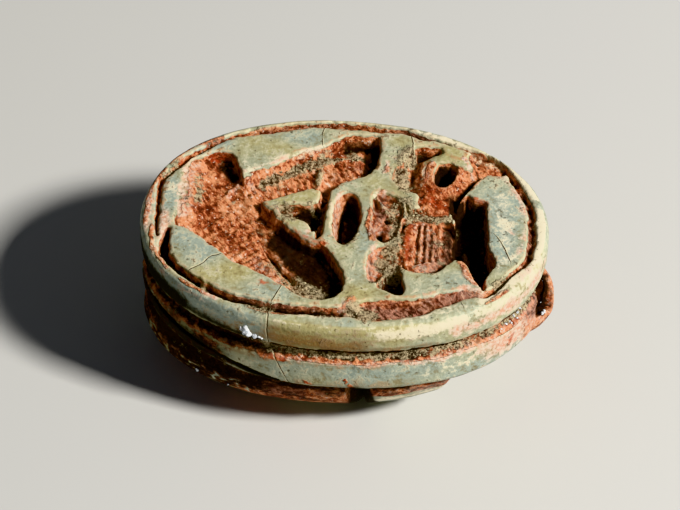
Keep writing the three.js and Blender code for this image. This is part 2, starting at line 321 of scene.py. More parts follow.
# No cut of the face goes deeper. The plan reaches past the oval, farther on the far side.
DEEPEST_CUT = 1.78
PLAN_STEP = 0.03
PLAN_MARGIN = 0.5
FAR_MARGIN = 0.8

# What the material reads at each place of the stone.
MARKS = ("bare", "dark", "dusk", "soil", "pink", "cream_and_highlight", "tone", "red", "stain", "fringe")

# Where each kind of stain or wear lies on the seal face, the dark lines partly dirt and partly painted shade
# where the cuts lie in shadow, the cream lines partly pale wear and partly a painted highlight along the rim
# lit from the right: ends of a line, half width, strength.
FACE_STAINS_AND_PAINTED_LIGHT = {
    "soil": [
        (2.0, 1.6, 2.15, -0.4, 0.26, 0.75), (2.1, -1.2, 2.2, -2.2, 0.32, 0.9),
        (3.9, 0.35, 4.1, -1.6, 0.3, 0.35), (-6.4, 2.3, -6.2, 1.0, 0.16, 0.7),
        (3.0, 1.0, 4.4, 0.9, 0.2, 0.7), (-3.0, 5.6, -1.2, 5.9, 0.1, 0.6),
        (-3.6, 2.52, -2.2, 3.48, 0.2, 1.05), (-2.2, 3.48, -0.9, 4.28, 0.24, 1.05),
        (-0.95, 4.3, 0.2, 4.55, 0.22, 0.9), (-1.32, 3.5, -1.34, 2.2, 0.1, 0.8),
        (-2.45, 0.7, -2.15, 0.3, 0.24, 1.1), (-1.5, 1.1, -1.2, 0.9, 0.14, 0.7),
        (2.25, 4.6, 2.05, 3.3, 0.3, 1.05), (2.05, 3.3, 2.4, 2.4, 0.28, 1.05),
        (2.5, 1.7, 2.6, 1.0, 0.22, 1.0), (2.7, 1.05, 4.3, 1.0, 0.22, 1.0),
        (2.2, 0.4, 2.25, -1.4, 0.18, 0.9), (1.9, -1.7, 2.3, -2.3, 0.35, 1.0),
        (1.55, -3.3, 1.9, -2.8, 0.14, 0.8), (-1.7, -3.1, -0.9, -3.75, 0.38, 0.95),
        (-3.2, -5.1, -2.6, -5.2, 0.22, 1.2), (-0.3, -5.25, 0.1, -5.25, 0.2, 1.2),
        (0.95, -4.85, 1.6, -5.05, 0.28, 1.2), (4.2, 0.3, 4.3, -1.6, 0.16, 0.4),
        (-5.4, -4.0, -5.3, -4.1, 0.12, 1.1), (-0.1, 4.8, 0.4, 4.7, 0.2, 0.8),
        (-7.3, 2.9, -7.75, 2.2, 0.16, 0.7), (0.3, -1.1, 0.6, -0.6, 0.14, 0.7),
        (2.4, -5.1, 3.3, -4.9, 0.16, 0.5), (6.5, -2.9, 7.0, -2.4, 0.14, 0.9),
        (3.5, -2.42, 3.9, -2.5, 0.09, 0.8), (-2.9, -2.2, -1.6, -3.3, 0.2, 0.6),
        (-6.3, 2.6, -6.1, 1.0, 0.14, 0.55), (-6.6, 0.6, -6.5, 1.6, 0.14, 0.5),
    ],
    "pink": [
        (1.4, 1.9, 1.5, -0.4, 0.32, 0.75), (1.4, -1.3, 1.4, -2.9, 0.24, 0.95),
        (3.3, 0.3, 3.6, -1.8, 0.5, 0.7), (3.1, 3.6, 3.05, 2.9, 0.12, 0.9),
        (-8.25, 1.4, -8.2, -1.4, 0.16, 0.7), (-7.9, -2.0, -6.9, -3.5, 0.12, 0.6),
        (0.4, -1.1, 0.9, -1.6, 0.1, 0.5), (-6.75, 2.9, -6.75, 0.2, 0.34, 0.9),
        (-6.3, 2.4, -6.3, 1.0, 0.2, 0.5), (-4.5, 2.8, -5.0, 1.6, 0.14, 0.8),
        (-4.3, 2.5, -3.9, 2.1, 0.2, 0.6), (-7.5, -0.1, -7.4, -1.3, 0.26, 0.9),
        (2.35, 4.85, 1.5, 3.9, 0.12, 0.8), (1.5, 3.9, 1.45, 3.1, 0.12, 0.9),
        (1.5, 2.1, 1.2, 1.4, 0.14, 0.8), (1.3, -1.5, 1.35, -3.1, 0.12, 0.8),
        (0.6, -4.8, 0.85, -4.9, 0.2, 1.1), (5.0, -1.62, 5.35, -2.4, 0.11, 0.9),
        (5.35, -2.4, 5.95, -3.05, 0.14, 0.9), (6.6, 3.2, 7.2, 2.1, 0.13, 0.7),
        (7.2, 2.1, 7.5, 0.6, 0.12, 0.7), (7.5, 0.6, 7.4, -0.9, 0.13, 0.7),
        (7.0, 0.25, 7.3, 0.1, 0.16, 0.8), (-1.42, -0.6, -1.4, -0.85, 0.13, 1.0),
        (-2.8, 0.65, -2.6, 0.3, 0.08, 0.8), (-0.35, 1.8, -0.4, -0.6, 0.14, 0.75),
        (4.6, 4.5, 5.1, 3.5, 0.08, 0.9), (3.4, -2.0, 3.7, -2.3, 0.2, 0.3),
        (5.3, -3.25, 5.9, -3.3, 0.2, 0.9), (3.8, -3.8, 5.2, -3.4, 0.25, 0.4),
        (-3.6, -2.0, -2.3, -3.3, 0.28, 0.7), (0.75, 0.8, 0.95, 1.8, 0.08, 0.5),
        (-5.2, -4.6, -4.7, -4.85, 0.12, 1.0), (-6.9, -3.85, -6.6, -4.0, 0.16, 0.9),
        (6.5, 3.4, 6.0, 3.7, 0.14, 0.6), (-7.6, -2.2, -7.0, -3.2, 0.12, 0.6),
        (1.1, 0.3, 1.15, -0.6, 0.08, 0.7), (7.2, -3.2, 8.0, -1.6, 0.25, 0.6),
        (6.2, -4.3, 7.0, -3.6, 0.2, 0.5), (-8.2, 0.6, -8.1, -1.2, 0.16, 0.7),
        (3.3, 4.3, 3.2, 2.9, 0.08, 0.7), (-4.0, 3.0, -1.4, 4.5, 0.13, 0.6),
        (3.5, -0.1, 3.6, -1.2, 0.3, 0.4), (2.75, 0.5, 2.8, -1.6, 0.1, 0.6),
    ],
    "cream_and_highlight": [
        (3.12, 3.9, 3.05, 2.9, 0.12, 1.0), (6.3, 2.2, 6.9, -0.6, 0.4, 0.55),
        (3.0, 0.3, 3.2, -1.8, 0.2, 0.45), (0.8, -3.2, 3.2, -3.5, 0.4, 0.35),
        (-0.6, 1.2, -0.5, -0.6, 0.1, 0.6), (8.25, 1.5, 8.3, -1.0, 0.35, 1.1),
        (8.2, -1.0, 7.2, -2.7, 0.3, 1.0), (7.9, 2.4, 6.6, 4.2, 0.2, 1.1),
        (6.6, 4.2, 2.6, 6.05, 0.14, 1.0), (3.0, -5.3, 5.5, -4.2, 0.2, 0.6),
        (6.0, -3.9, 6.9, -3.1, 0.2, 1.0), (-4.0, 3.1, -2.6, 3.9, 0.16, 0.65),
        (-2.6, 3.9, -1.3, 4.65, 0.14, 0.6), (-7.4, 1.0, -7.0, 2.6, 0.2, 0.5),
        (-4.5, 3.2, -4.2, 2.9, 0.14, 0.8), (6.6, -1.7, 7.2, -1.2, 0.2, 0.7),
        (-7.9, -1.8, -7.4, -2.8, 0.14, 0.7), (-7.2, -3.3, -5.8, -4.3, 0.12, 0.5),
        (-2.4, -5.4, 0.4, -5.6, 0.1, 0.5), (1.1, 1.9, 1.45, 1.35, 0.07, 0.9),
    ],
    "dusk": [
        (-6.6, -3.4, -4.6, -4.7, 0.2, 0.9), (-4.6, -4.7, 0.6, -5.2, 0.2, 0.9),
        (-7.2, -1.0, -7.1, -2.6, 0.2, 0.8), (1.6, -4.8, 3.4, -4.5, 0.45, 1.0),
        (3.4, -4.4, 5.4, -3.6, 0.4, 1.0), (-5.8, 4.45, -4.0, 5.24, 0.16, 0.9),
        (-4.0, 5.24, -2.0, 5.86, 0.18, 0.9), (-2.0, 5.9, 2.4, 5.85, 0.18, 0.8),
        (2.4, 5.8, 5.6, 4.7, 0.18, 0.9), (1.3, 1.6, 1.9, 0.2, 0.4, 0.8), (-0.6, 3.0, 0.3, 4.0, 0.4, 0.5),
        (2.15, 4.4, 2.1, 2.6, 0.3, 0.7), (-3.4, -1.8, -2.0, -3.2, 0.3, 0.4),
        (3.7, -0.5, 4.1, -1.8, 0.5, 0.8), (4.3, 0.4, 4.4, -1.4, 0.2, 1.1), (7.1, 2.8, 7.7, 1.2, 0.2, 0.8),
        (7.75, 0.8, 7.8, -1.2, 0.2, 0.9), (-4.1, 2.6, -3.4, 2.2, 0.25, 0.5),
        (-1.0, 2.6, -1.0, -0.6, 0.12, 0.6), (1.3, -2.0, 1.9, -2.2, 0.3, 0.4),
        (6.5, -3.0, 7.5, -1.9, 0.13, 0.7), (4.8, -0.2, 5.1, -1.4, 0.2, 0.5),
    ],
    "dark": [
        (-2.5, -0.75, -1.3, -2.0, 0.55, 1.5), (-1.3, -1.9, -0.5, -3.1, 0.65, 1.6),
        (-0.4, -2.8, -0.4, -3.8, 0.5, 1.5), (4.55, 2.0, 4.9, 1.2, 0.35, 1.5),
        (2.55, 3.7, 2.5, 2.6, 0.14, 0.7), (-3.7, 0.4, -3.2, -0.3, 0.4, 0.5),
        (5.2, 1.6, 5.4, -0.5, 0.6, 1.3), (5.5, -0.5, 5.8, -2.0, 0.4, 1.3),
        (5.9, -2.2, 6.0, -2.8, 0.2, 0.9), (4.6, 1.3, 4.7, 0.8, 0.3, 0.9),
        (0.25, 1.7, 0.3, -0.9, 0.3, 1.3), (-1.9, 0.5, -1.2, 0.4, 0.3, 1.3),
        (-1.9, 0.75, -1.15, 0.9, 0.2, 1.4), (-1.15, 0.2, -1.15, -0.6, 0.12, 0.9),
        (-1.0, 1.6, -1.0, -0.6, 0.1, 0.6), (3.8, 3.7, 3.75, 3.0, 0.42, 1.6),
        (2.4, -2.7, 2.4, -3.5, 0.45, 1.4), (0.95, 5.2, 0.9, 4.2, 0.16, 1.3),
        (0.85, 4.2, 0.6, 3.2, 0.17, 1.3), (-0.4, 5.15, 0.7, 5.3, 0.14, 1.0),
        (2.66, 3.8, 2.62, 2.7, 0.1, 0.8), (2.7, 4.9, 3.4, 4.75, 0.13, 0.8),
        (5.05, 4.2, 5.3, 3.5, 0.1, 1.1), (5.3, 3.5, 4.6, 2.0, 0.13, 1.1),
        (-5.35, 3.3, -4.95, 2.85, 0.28, 1.1), (-7.2, -1.2, -7.15, -2.5, 0.2, 1.3),
        (-7.15, -2.5, -6.2, -3.55, 0.17, 1.0), (-6.2, -3.55, -4.6, -4.5, 0.2, 1.0),
        (-4.6, -4.5, -3.0, -4.9, 0.18, 0.9), (-3.0, -4.9, 0.4, -5.05, 0.16, 0.85),
        (6.6, 3.7, 7.3, 2.6, 0.12, 0.5), (7.3, 2.6, 7.85, 1.0, 0.11, 0.5),
        (7.85, 1.0, 7.9, -1.1, 0.1, 0.4), (7.5, -1.8, 6.6, -3.1, 0.1, 0.8),
        (-7.75, 1.9, -7.78, -0.6, 0.12, 0.35), (2.5, 0.6, 2.6, -1.9, 0.08, 1.1),
        (4.7, 1.2, 4.75, -1.4, 0.22, 1.3), (4.4, 0.4, 4.5, -1.4, 0.2, 0.85),
        (1.74, 0.8, 1.8, 0.7, 0.08, 1.1), (1.5, -0.1, 1.75, -0.8, 0.11, 1.1),
        (-3.2, -1.35, -1.75, -3.0, 0.08, 0.7), (4.3, 2.0, 4.9, 2.4, 0.1, 0.9),
        (2.5, 1.6, 2.7, 1.45, 0.08, 0.9),
    ],
    "blue": [
        (6.6, 1.8, 6.6, -0.8, 0.6, 1.0), (-7.4, 1.6, -7.5, 0.3, 0.25, 1.0),
        (-6.5, -1.6, -5.6, -2.6, 0.5, 0.8), (-3.6, 4.9, -1.8, 5.0, 0.3, 0.8),
        (3.6, -3.0, 5.0, -2.5, 0.45, 0.3), (-6.2, 4.0, -5.4, 4.3, 0.25, 0.8),
        (-6.6, -4.2, -5.2, -5.2, 0.25, 0.9), (1.0, -1.4, 0.9, -0.6, 0.25, 0.5),
        (-3.4, -4.1, -1.6, -4.5, 0.3, 0.3),
    ],
    "worn": [
        (-8.2, 1.2, -8.25, -0.8, 0.1, 0.9), (-7.85, 2.5, -8.2, 1.3, 0.12, 0.85),
        (-6.9, 3.95, -5.6, 4.75, 0.07, 0.8), (-7.6, -2.3, -7.0, -3.3, 0.07, 0.8),
        (-6.4, -3.9, -5.2, -4.6, 0.06, 0.8), (-3.4, -5.3, -1.8, -5.45, 0.05, 0.8),
        (3.3, 3.9, 3.25, 2.9, 0.14, 1.1), (3.35, 2.6, 4.2, 2.3, 0.3, 1.2),
        (4.5, 2.6, 4.95, 3.2, 0.35, 1.2), (4.5, 3.7, 4.9, 3.2, 0.2, 0.9),
        (5.05, 3.6, 5.2, 3.2, 0.12, 0.9), (1.55, 3.7, 1.45, 3.2, 0.1, 0.8),
        (1.15, 1.5, 1.4, 2.1, 0.12, 0.7), (1.0, 0.2, 1.3, -0.7, 0.16, 0.8),
        (2.5, -0.9, 2.7, -2.2, 0.14, 0.8), (5.0, -1.65, 5.3, -2.2, 0.14, 0.8),
        (5.3, -2.3, 5.8, -2.9, 0.16, 0.8), (0.6, -4.8, 0.8, -4.3, 0.14, 0.8),
        (-6.6, 0.6, -6.7, -0.6, 0.12, 0.8), (-7.9, -1.0, -7.75, -2.6, 0.09, 0.8),
        (-7.7, 3.0, -6.9, 3.9, 0.12, 0.7), (-5.6, -4.95, -4.9, -5.15, 0.2, 1.0),
        (6.3, -4.0, 7.1, -3.2, 0.14, 0.6), (-4.3, 5.3, -3.5, 5.55, 0.1, 0.6),
        (1.0, 1.0, 0.95, 0.0, 0.07, 0.8), (-1.0, -0.9, -0.7, -1.25, 0.1, 0.8),
    ],
    "olive": [
        (-4.6, 4.3, -3.2, 4.3, 0.5, 0.7), (4.0, 5.0, 4.3, 4.5, 0.4, 0.9),
        (-5.2, -3.4, -4.0, -3.2, 0.4, 0.8), (-2.6, 1.25, -1.4, 1.75, 0.3, 0.9),
        (1.7, 5.2, 3.0, 5.3, 0.3, 0.7), (0.9, 2.7, 2.0, 2.0, 0.4, 0.5),
        (-1.8, -0.35, -2.4, 0.0, 0.2, 0.8), (1.3, -3.8, 0.6, -4.2, 0.3, 0.5),
        (-3.6, 6.0, -2.4, 6.2, 0.12, 1.0),
    ],
    "red": [
        (-3.0, -3.76, -2.3, -3.8, 0.06, 1.0), (-1.4, -4.25, -0.7, -4.4, 0.12, 1.0),
        (-6.0, 3.6, -5.4, 3.75, 0.08, 0.7), (5.3, 2.1, 5.8, 1.9, 0.1, 0.8),
        (6.0, -2.3, 6.1, -3.0, 0.12, 0.9), (-7.2, 3.1, -6.8, 3.35, 0.12, 0.8),
        (3.15, 4.1, 3.1, 2.7, 0.1, 0.9), (3.3, 2.7, 3.5, 2.2, 0.14, 0.8),
        (2.7, 0.4, 2.75, -1.6, 0.12, 0.9), (3.4, 2.0, 4.1, 1.7, 0.25, 0.8),
        (-1.9, -0.75, -0.8, -1.25, 0.12, 0.8), (-0.7, -1.4, -0.5, -1.7, 0.2, 0.8),
    ],
}

# The same for the near side, as distance along and depth. Here too the dark lines are partly dirt and partly
# painted shade, on the tail end turned from the light and under the legs, and the cream lines are partly a
# painted highlight on the lit front end.
SIDE_STAINS_AND_PAINTED_LIGHT = {
    "dark": [
        (-8.6, 0.85, -6.4, 1.05, 0.45, 1.35), (-6.4, 1.05, -4.4, 1.25, 0.24, 0.95),
        (-5.6, 1.15, -2.9, 1.4, 0.16, 0.9), (-8.8, 2.9, -5.0, 3.1, 0.7, 1.2),
        (-8.0, 4.9, -4.6, 5.2, 0.8, 1.1), (-5.2, 3.0, -2.2, 3.7, 0.16, 1.2),
        (-8.4, 3.9, -3.2, 4.4, 0.55, 1.2), (-5.0, 1.9, -2.6, 2.0, 0.25, 1.0),
        (-3.2, 4.05, 0.9, 4.1, 0.22, 1.0), (0.9, 4.3, 0.3, 4.1, 0.12, 0.7),
        (1.15, 3.95, 1.1, 6.6, 0.34, 1.6), (1.5, 4.0, 1.75, 5.6, 0.2, 1.4),
        (-8.0, 4.4, -5.0, 4.8, 0.5, 0.7), (1.6, 3.9, 3.2, 4.0, 0.16, 0.9),
        (-3.5, 4.0, 0.6, 4.0, 0.1, 0.7), (4.6, 3.9, 5.6, 3.7, 0.12, 0.7),
    ],
    "soil": [
        (-2.6, 1.75, 0.5, 1.8, 0.24, 0.9), (0.5, 1.8, 4.5, 1.8, 0.25, 0.85),
        (4.5, 1.8, 8.0, 1.8, 0.25, 0.9),
    ],
    "stain": [
        (-2.35, 1.05, 1.4, 1.15, 0.34, 1.3), (-2.3, 0.6, -0.4, 0.75, 0.25, 1.0),
        (1.2, 1.3, 4.2, 1.3, 0.12, 0.9), (-5.2, 0.9, -2.8, 1.1, 0.16, 0.8),
        (-0.2, 0.5, 1.5, 0.4, 0.1, 0.7), (2.4, 0.9, 4.0, 0.8, 0.12, 0.6), (0.5, 0.1, 1.2, 0.2, 0.2, 0.5),
        (-1.6, 3.5, 3.4, 3.35, 0.25, 0.6), (-0.6, 0.8, 2.6, 0.8, 0.1, 0.8),
        (-2.3, 0.95, 0.4, 1.0, 0.3, 0.9), (-2.2, 2.3, 2.5, 2.3, 0.1, 0.7),
        (1.5, 1.2, 3.6, 1.25, 0.12, 0.5), (-5.4, 2.3, -2.6, 2.4, 0.18, 0.9),
        (-4.3, 0.62, -3.0, 0.66, 0.05, 0.9),
    ],
    "pink": [
        (5.2, 0.8, 8.4, 0.7, 0.35, 0.9), (6.2, 2.5, 8.2, 2.4, 0.35, 0.8),
        (3.5, 2.25, 8.2, 2.2, 0.14, 0.8), (-2.6, 2.16, 3.5, 2.2, 0.11, 0.75),
        (6.8, 2.6, 8.9, 2.6, 0.8, 1.0), (-2.0, 4.3, 0.8, 4.5, 0.25, 0.6), (3.4, 4.3, 4.8, 4.2, 0.3, 0.8),
        (-7.6, 0.2, -5.0, 0.25, 0.1, 0.6),
    ],
    "dusk": [
        (2.0, 4.6, 4.8, 4.4, 0.3, 0.6), (5.6, 1.0, 6.6, 0.85, 0.25, 0.9), (0.0, 1.7, 5.0, 1.7, 0.25, 0.8),
        (-1.5, 4.2, 0.8, 4.3, 0.2, 0.5), (-6.5, 4.4, -1.5, 4.4, 0.5, 0.9),
        (5.4, 2.0, 8.2, 1.9, 0.12, 0.8), (8.0, 2.0, 8.3, 2.6, 0.25, 1.0),
    ],
    "cream_and_highlight": [
        (4.0, 2.9, 6.4, 2.8, 0.4, 0.45), (2.2, 0.5, 5.4, 0.35, 0.3, 0.9), (6.0, 0.25, 8.2, 0.3, 0.3, 0.7),
        (-2.4, 0.1, 2.0, 0.1, 0.1, 0.5), (1.8, 5.0, 4.8, 4.7, 0.18, 0.9), (-1.2, 3.3, 2.5, 3.5, 0.2, 0.3),
    ],
    "red": [
        (0.65, 3.1, 1.04, 3.65, 0.07, 0.9), (-1.0, 3.4, -0.7, 3.55, 0.08, 0.7),
        (7.2, 3.0, 7.35, 2.5, 0.06, 0.8), (-4.0, 4.3, 0.6, 4.4, 0.3, 0.5),
        (-2.8, 2.2, -1.9, 2.25, 0.16, 0.8),
    ],
    "olive": [
        (-2.4, 0.3, 3.2, 0.35, 0.5, 0.9), (0.3, 0.15, 1.4, 0.2, 0.2, 0.6),
        (-1.5, 3.3, 1.0, 3.4, 0.3, 0.3),
    ],
    "blue": [
        (-8.4, 0.4, -2.7, 0.5, 0.6, 0.9), (-1.5, 2.8, 5.0, 2.9, 0.8, 0.5),
        (4.8, 3.3, 7.4, 3.3, 0.35, 0.8),
    ],
}

# What lies nearer to the viewer than this is the near side.
NEAR_SIDE_Y = -2

# Fine cracks: on the seal face, and on the near side as distance along and depth.
FACE_CRACKS = [
    [(-6.0, -3.32), (-5.5, -2.9), (-5.3, -2.5), (-4.92, -2.32)],
    [(-2.18, -3.95), (-2.3, -4.35), (-2.42, -4.72)],
    [(-1.42, 5.68), (-1.46, 5.2), (-1.38, 4.7)],
    [(2.28, 5.68), (2.4, 5.2), (2.46, 4.74)],
    [(6.42, -0.1), (6.75, -0.7), (7.02, -1.38)],
    [(5.25, -4.05), (5.45, -4.45)],
    [(-2.5, -5.3), (-2.52, -6.0)],
]
SIDE_CRACKS = [
    [(-2.5, -0.05), (-2.54, 0.7), (-2.48, 1.46)],
    [(-2.25, 2.12), (-1.95, 2.9), (-1.56, 3.8)],
]

# Small chips out of the plate's rim: place on the face and radius.
RIM_CHIPS = [
    (2.75, 6.0, 0.32), (3.25, 5.84, 0.22), (-5.1, -4.95, 0.3), (-6.9, -3.95, 0.28), (6.4, 3.95, 0.22),
    (8.2, -2.0, 0.3), (-4.4, 5.35, 0.2), (-0.6, 6.17, 0.18), (-7.7, 2.75, 0.22),
]

# White lime grown on the near side: distance along, depth, radius.
LIME_SPOTS = [
    (-3.66, 0.98, 0.09), (-3.5, 0.92, 0.13), (-3.4, 1.06, 0.15), (-3.24, 1.14, 0.14), (-3.3, 1.28, 0.11),
    (-3.12, 1.26, 0.1), (-3.5, 1.2, 0.07), (-2.96, 1.1, 0.05), (-2.86, 1.18, 0.07), (-2.76, 1.26, 0.05),
    (-3.44, 0.8, 0.08), (-5.6, 5.0, 0.1), (-4.35, 5.05, 0.05), (6.9, 2.02, 0.04), (7.06, 1.98, 0.05),
    (7.2, 1.96, 0.045), (7.34, 1.92, 0.06), (7.46, 1.9, 0.05), (7.6, 1.86, 0.06), (7.72, 1.84, 0.045),
    (7.0, 2.1, 0.035), (7.5, 2.0, 0.04), (7.28, 2.04, 0.035),
]

# The same in the front mouth of the cord hole: place, depth, radius.
MOUTH_LIME = [
    (8.42, -1.1, 3.2, 0.06), (8.48, -1.15, 3.25, 0.08), (8.5, -1.02, 3.2, 0.06), (8.4, -1.2, 3.2, 0.05),
    (8.44, -0.98, 3.3, 0.05), (8.22, 0.0, 3.86, 0.05), (8.02, 0.75, 3.6, 0.03), (8.16, 0.8, 3.58, 0.035),
]

# Loose grains: how deep they sink as a share of their size, how rough they are in metres, how finely faceted.
GRAIN_SINK = 0.35
SOIL_ROUGHNESS = 0.00003
LIME_ROUGHNESS = 0.0001
SOIL_FACETS = 1
LIME_FACETS = 2

# Colours of the finishes as seen on screen, besides those in the settings.
TINTS = {
    "glaze in shade": (134, 120, 82),
    "honey stain": (132, 90, 44),
    "brown fringe": (176, 112, 62),
    # The cream and worn edge colours also serve as painted highlights, and the deep red also as painted shade
    # in the stone's inner corners.
    "cream_and_highlight": (246, 234, 204),
    "worn edge and highlight": (230, 218, 184),
    "pale pink": (228, 206, 186),
    "speck": (74, 58, 34),
    "dusk": (58, 32, 26),
    "dusty red": (182, 134, 116),
    "deep red": (70, 24, 12),
    "stone edge": (228, 178, 142),
    "tan": (204, 142, 98),
    "cream on stone": (240, 220, 186),
    "red patch": (176, 66, 36),
    "crack lip": (230, 222, 184),
    "crack": (72, 48, 28),
    "soil grain": (196, 184, 148),
    "soil gap": (66, 48, 30),
    "lime": (236, 238, 240),
    "lime gap": (168, 176, 184),
}

# The bare stone's grain runs along the tool's strokes: how far it is turned and how far drawn out.
STROKE_TURN = 0.72
STROKE_STRETCH = 2.2

# How fine each pattern of the finishes is, in features to a metre.
BROAD = 420.0
PATCH = 620.0
CLOUD = 1500.0
CLUMP = 1900.0
SPECK = 4200.0
STONE_GRAIN = 5600.0
FINE = 6000.0
GLINT = 8200.0
SOIL_GRAIN = 9000.0
LIME_GRAIN = 5000.0

# The stage, in metres: the floor and the light from the right.
FLOOR_HALF = 0.6
KEY_TOWARDS = (0.70, -0.255, 0.67)
KEY_DISTANCE = 0.3
KEY_SIZE = 0.04
KEY_COLOUR = (1, 0.97, 0.92)
SKY_COLOUR = (0.9, 0.93, 1, 1)

# The camera that the photograph was taken with, fitted to the outline of the seal face.
VIEW_AZIMUTH = 6.11
VIEW_ELEVATION = 44.73
VIEW_DISTANCE = 200.0
PIXELS_PER_MM = 24.106
FACE_PIXEL = (343.5, 223.4)
PICTURE = (680, 510)
SENSOR_WIDTH = 36


# Working with plans and blocks of distances


def smooth_max(a, b, soft):
    """The larger of two distances, rounded where one takes over from the other."""
    blend = np.clip(0.5 + 0.5 * (a - b) / soft, 0, 1)
    return b + (a - b) * blend + soft * blend * (1 - blend)


def smooth_min(a, b, soft):
    """The smaller of two distances, rounded in the same way."""
    return -smooth_max(-a, -b, soft)


def ease(low, high, value):
    """From 0 at low to 1 at high, with a gentle start and end."""
    share = np.clip((value - low) / (high - low), 0, 1)
    return share * share * (3 - 2 * share)


def lattice_noise(spots, cell, seed):
    """Smooth noise from -1 to 1 at points given in mm, with features about one cell wide."""
    spots = np.asarray(spots, float) / cell
    base = np.floor(spots).astype(np.int64)
    share = spots - base
    share = share * share * (3 - 2 * share)
    total = 0
    for corner in np.ndindex(*(2,) * spots.shape[1]):
        code = np.full(len(spots), seed * 7919, np.int64)
        weight = 1.0
        for axis, step in enumerate(corner):
            code = code * 1000003 + base[:, axis] + step
            weight = weight * (share[:, axis] if step else 1 - share[:, axis])
        code = (code ^ (code >> 13)) * 1274126177 % 4294967291
        code = (code ^ (code >> 15)) * 2246822519 % 4294967291
        total = total + weight * (code % 65536 / 32767.5 - 1)
    return total


def smooth_loop(points, steps=5):
    """A rounded closed line through the given corners."""
    p = np.array(points, float)
    pieces = []
    for i in range(len(p)):
        a, b, c, d = (p[(i + k) % len(p)] for k in (-1, 0, 1, 2))
        t1 = np.linalg.norm(b - a) ** 0.5
        t2 = t1 + np.linalg.norm(c - b) ** 0.5
        t3 = t2 + np.linalg.norm(d - c) ** 0.5
        t = (t1 + (t2 - t1) * np.arange(steps) / steps)[:, None]
        ab = (t1 - t) / t1 * a + t / t1 * b
        bc = (t2 - t) / (t2 - t1) * b + (t - t1) / (t2 - t1) * c
        cd = (t3 - t) / (t3 - t2) * c + (t - t2) / (t3 - t2) * d
        left = (t2 - t) / t2 * ab + t / t2 * bc
        right = (t3 - t) / (t3 - t1) * bc + (t - t1) / (t3 - t1) * cd
        pieces.append((t2 - t) / (t2 - t1) * left + (t - t1) / (t2 - t1) * right)
    return np.concatenate(pieces)


def line_distance(x, y, start, end):
    """Distance from each point to a straight stretch."""
    ax, ay = start
    ux, uy = end[0] - ax, end[1] - ay
    along = np.clip(((x - ax) * ux + (y - ay) * uy) / (ux * ux + uy * uy + 1e-12), 0, 1)
    return np.hypot(x - ax - along * ux, y - ay - along * uy)


def loop_distance(loop, x, y):
    """Signed distance to a closed line, negative inside."""
    nearest = np.full(x.shape, 1e9)
    inside = np.zeros(x.shape, bool)
    for start, end in zip(loop, np.roll(loop, -1, 0)):
        nearest = np.minimum(nearest, line_distance(x, y, start, end))
        crosses = (start[1] > y) != (end[1] > y)
        rise = end[1] - start[1]
        at = start[0] + (y - start[1]) / (rise if abs(rise) > 1e-12 else 1e-12) * (end[0] - start[0])
        inside ^= crosses & (x < at)
    return np.where(inside, -nearest, nearest)


def ribbon_distance(x, y, stations):
    """Distance to a line that has a half width at each of its corners, negative inside."""
    nearest = np.full(x.shape, 9.0)
    for (ax, ay, aw), (bx, by, bw) in zip(stations, stations[1:]):
        ux, uy = bx - ax, by - ay
        along = np.clip(((x - ax) * ux + (y - ay) * uy) / (ux * ux + uy * uy), 0, 1)
        away = np.hypot(x - ax - along * ux, y - ay - along * uy) - aw - (bw - aw) * along
        nearest = np.minimum(nearest, away)
    return nearest


def crack_distance(x, y, cracks):
    """Signed distance to the nearest crack, and how surely a point lies beside one."""
    best = np.full(x.shape, 1.0)
    beside = np.zeros(x.shape)
    for crack in cracks:
        for start, end in zip(crack, crack[1:]):
            ux, uy = end[0] - start[0], end[1] - start[1]
            length = math.hypot(ux, uy)
            across = ((x - start[0]) * -uy + (y - start[1]) * ux) / length
            away = line_distance(x, y, start, end)
            closer = away < np.abs(best)
            best = np.where(closer, np.sign(across) * np.maximum(np.abs(across), away * 0.7), best)
            beside = np.maximum(beside, ease(0.5, 0.2, away))
    return -best, beside


def ellipse_distance(x, y, place):
    """Distance to an ellipse given by its middle and its two half sizes."""
    cx, cy, a, b = place
    u, v = (x - cx) / a, (y - cy) / b
    size = np.hypot(u, v) + 1e-9
    return size * (size - 1) / (np.hypot(u / a, v / b) + 1e-9)


def oval_distance(x, y, a, b):
    """Distance to the amulet's oval, true close to its line."""
    u, v = np.abs(x / a) + 1e-9, np.abs(y / b) + 1e-9
    size = (u**OVAL_POWER + v**OVAL_POWER) ** (1 / OVAL_POWER)
    slope = np.hypot((u / size) ** (OVAL_POWER - 1) / a, (v / size) ** (OVAL_POWER - 1) / b)
    return (size - 1) / slope


def look_up(table, low, step, *places):
    """Values of an evenly spaced table between its entries, for arrays of places."""
    cells, shares = [], []
    for axis, place in enumerate(places):
        spot = np.clip((place - low[axis]) / step, 0, table.shape[axis] - 1.001)
        cell = spot.astype(np.int32)
        cells.append(cell)
        shares.append(spot - cell)
    total = 0
    for corner in np.ndindex(*(2,) * len(places)):
        weight = 1.0
        for share, bit in zip(shares, corner):
            weight = weight * (share if bit else 1 - share)
        total = total + weight * table[tuple(cell + bit for cell, bit in zip(cells, corner))]
    return total


def box_blur(block, cells):
    """The mean over a cube of cells each way."""
    for axis in range(block.ndim):
        padded = np.concatenate([np.repeat(np.take(block, [0], axis), cells + 1, axis), block,
                                 np.repeat(np.take(block, [-1], axis), cells, axis)], axis)
        total = np.cumsum(padded, axis, dtype=np.float64)
        width = 2 * cells + 1
        ahead = np.take(total, range(width, total.shape[axis]), axis)
        behind = np.take(total, range(total.shape[axis] - width), axis)
        block = ((ahead - behind) / width).astype(np.float32)
    return block


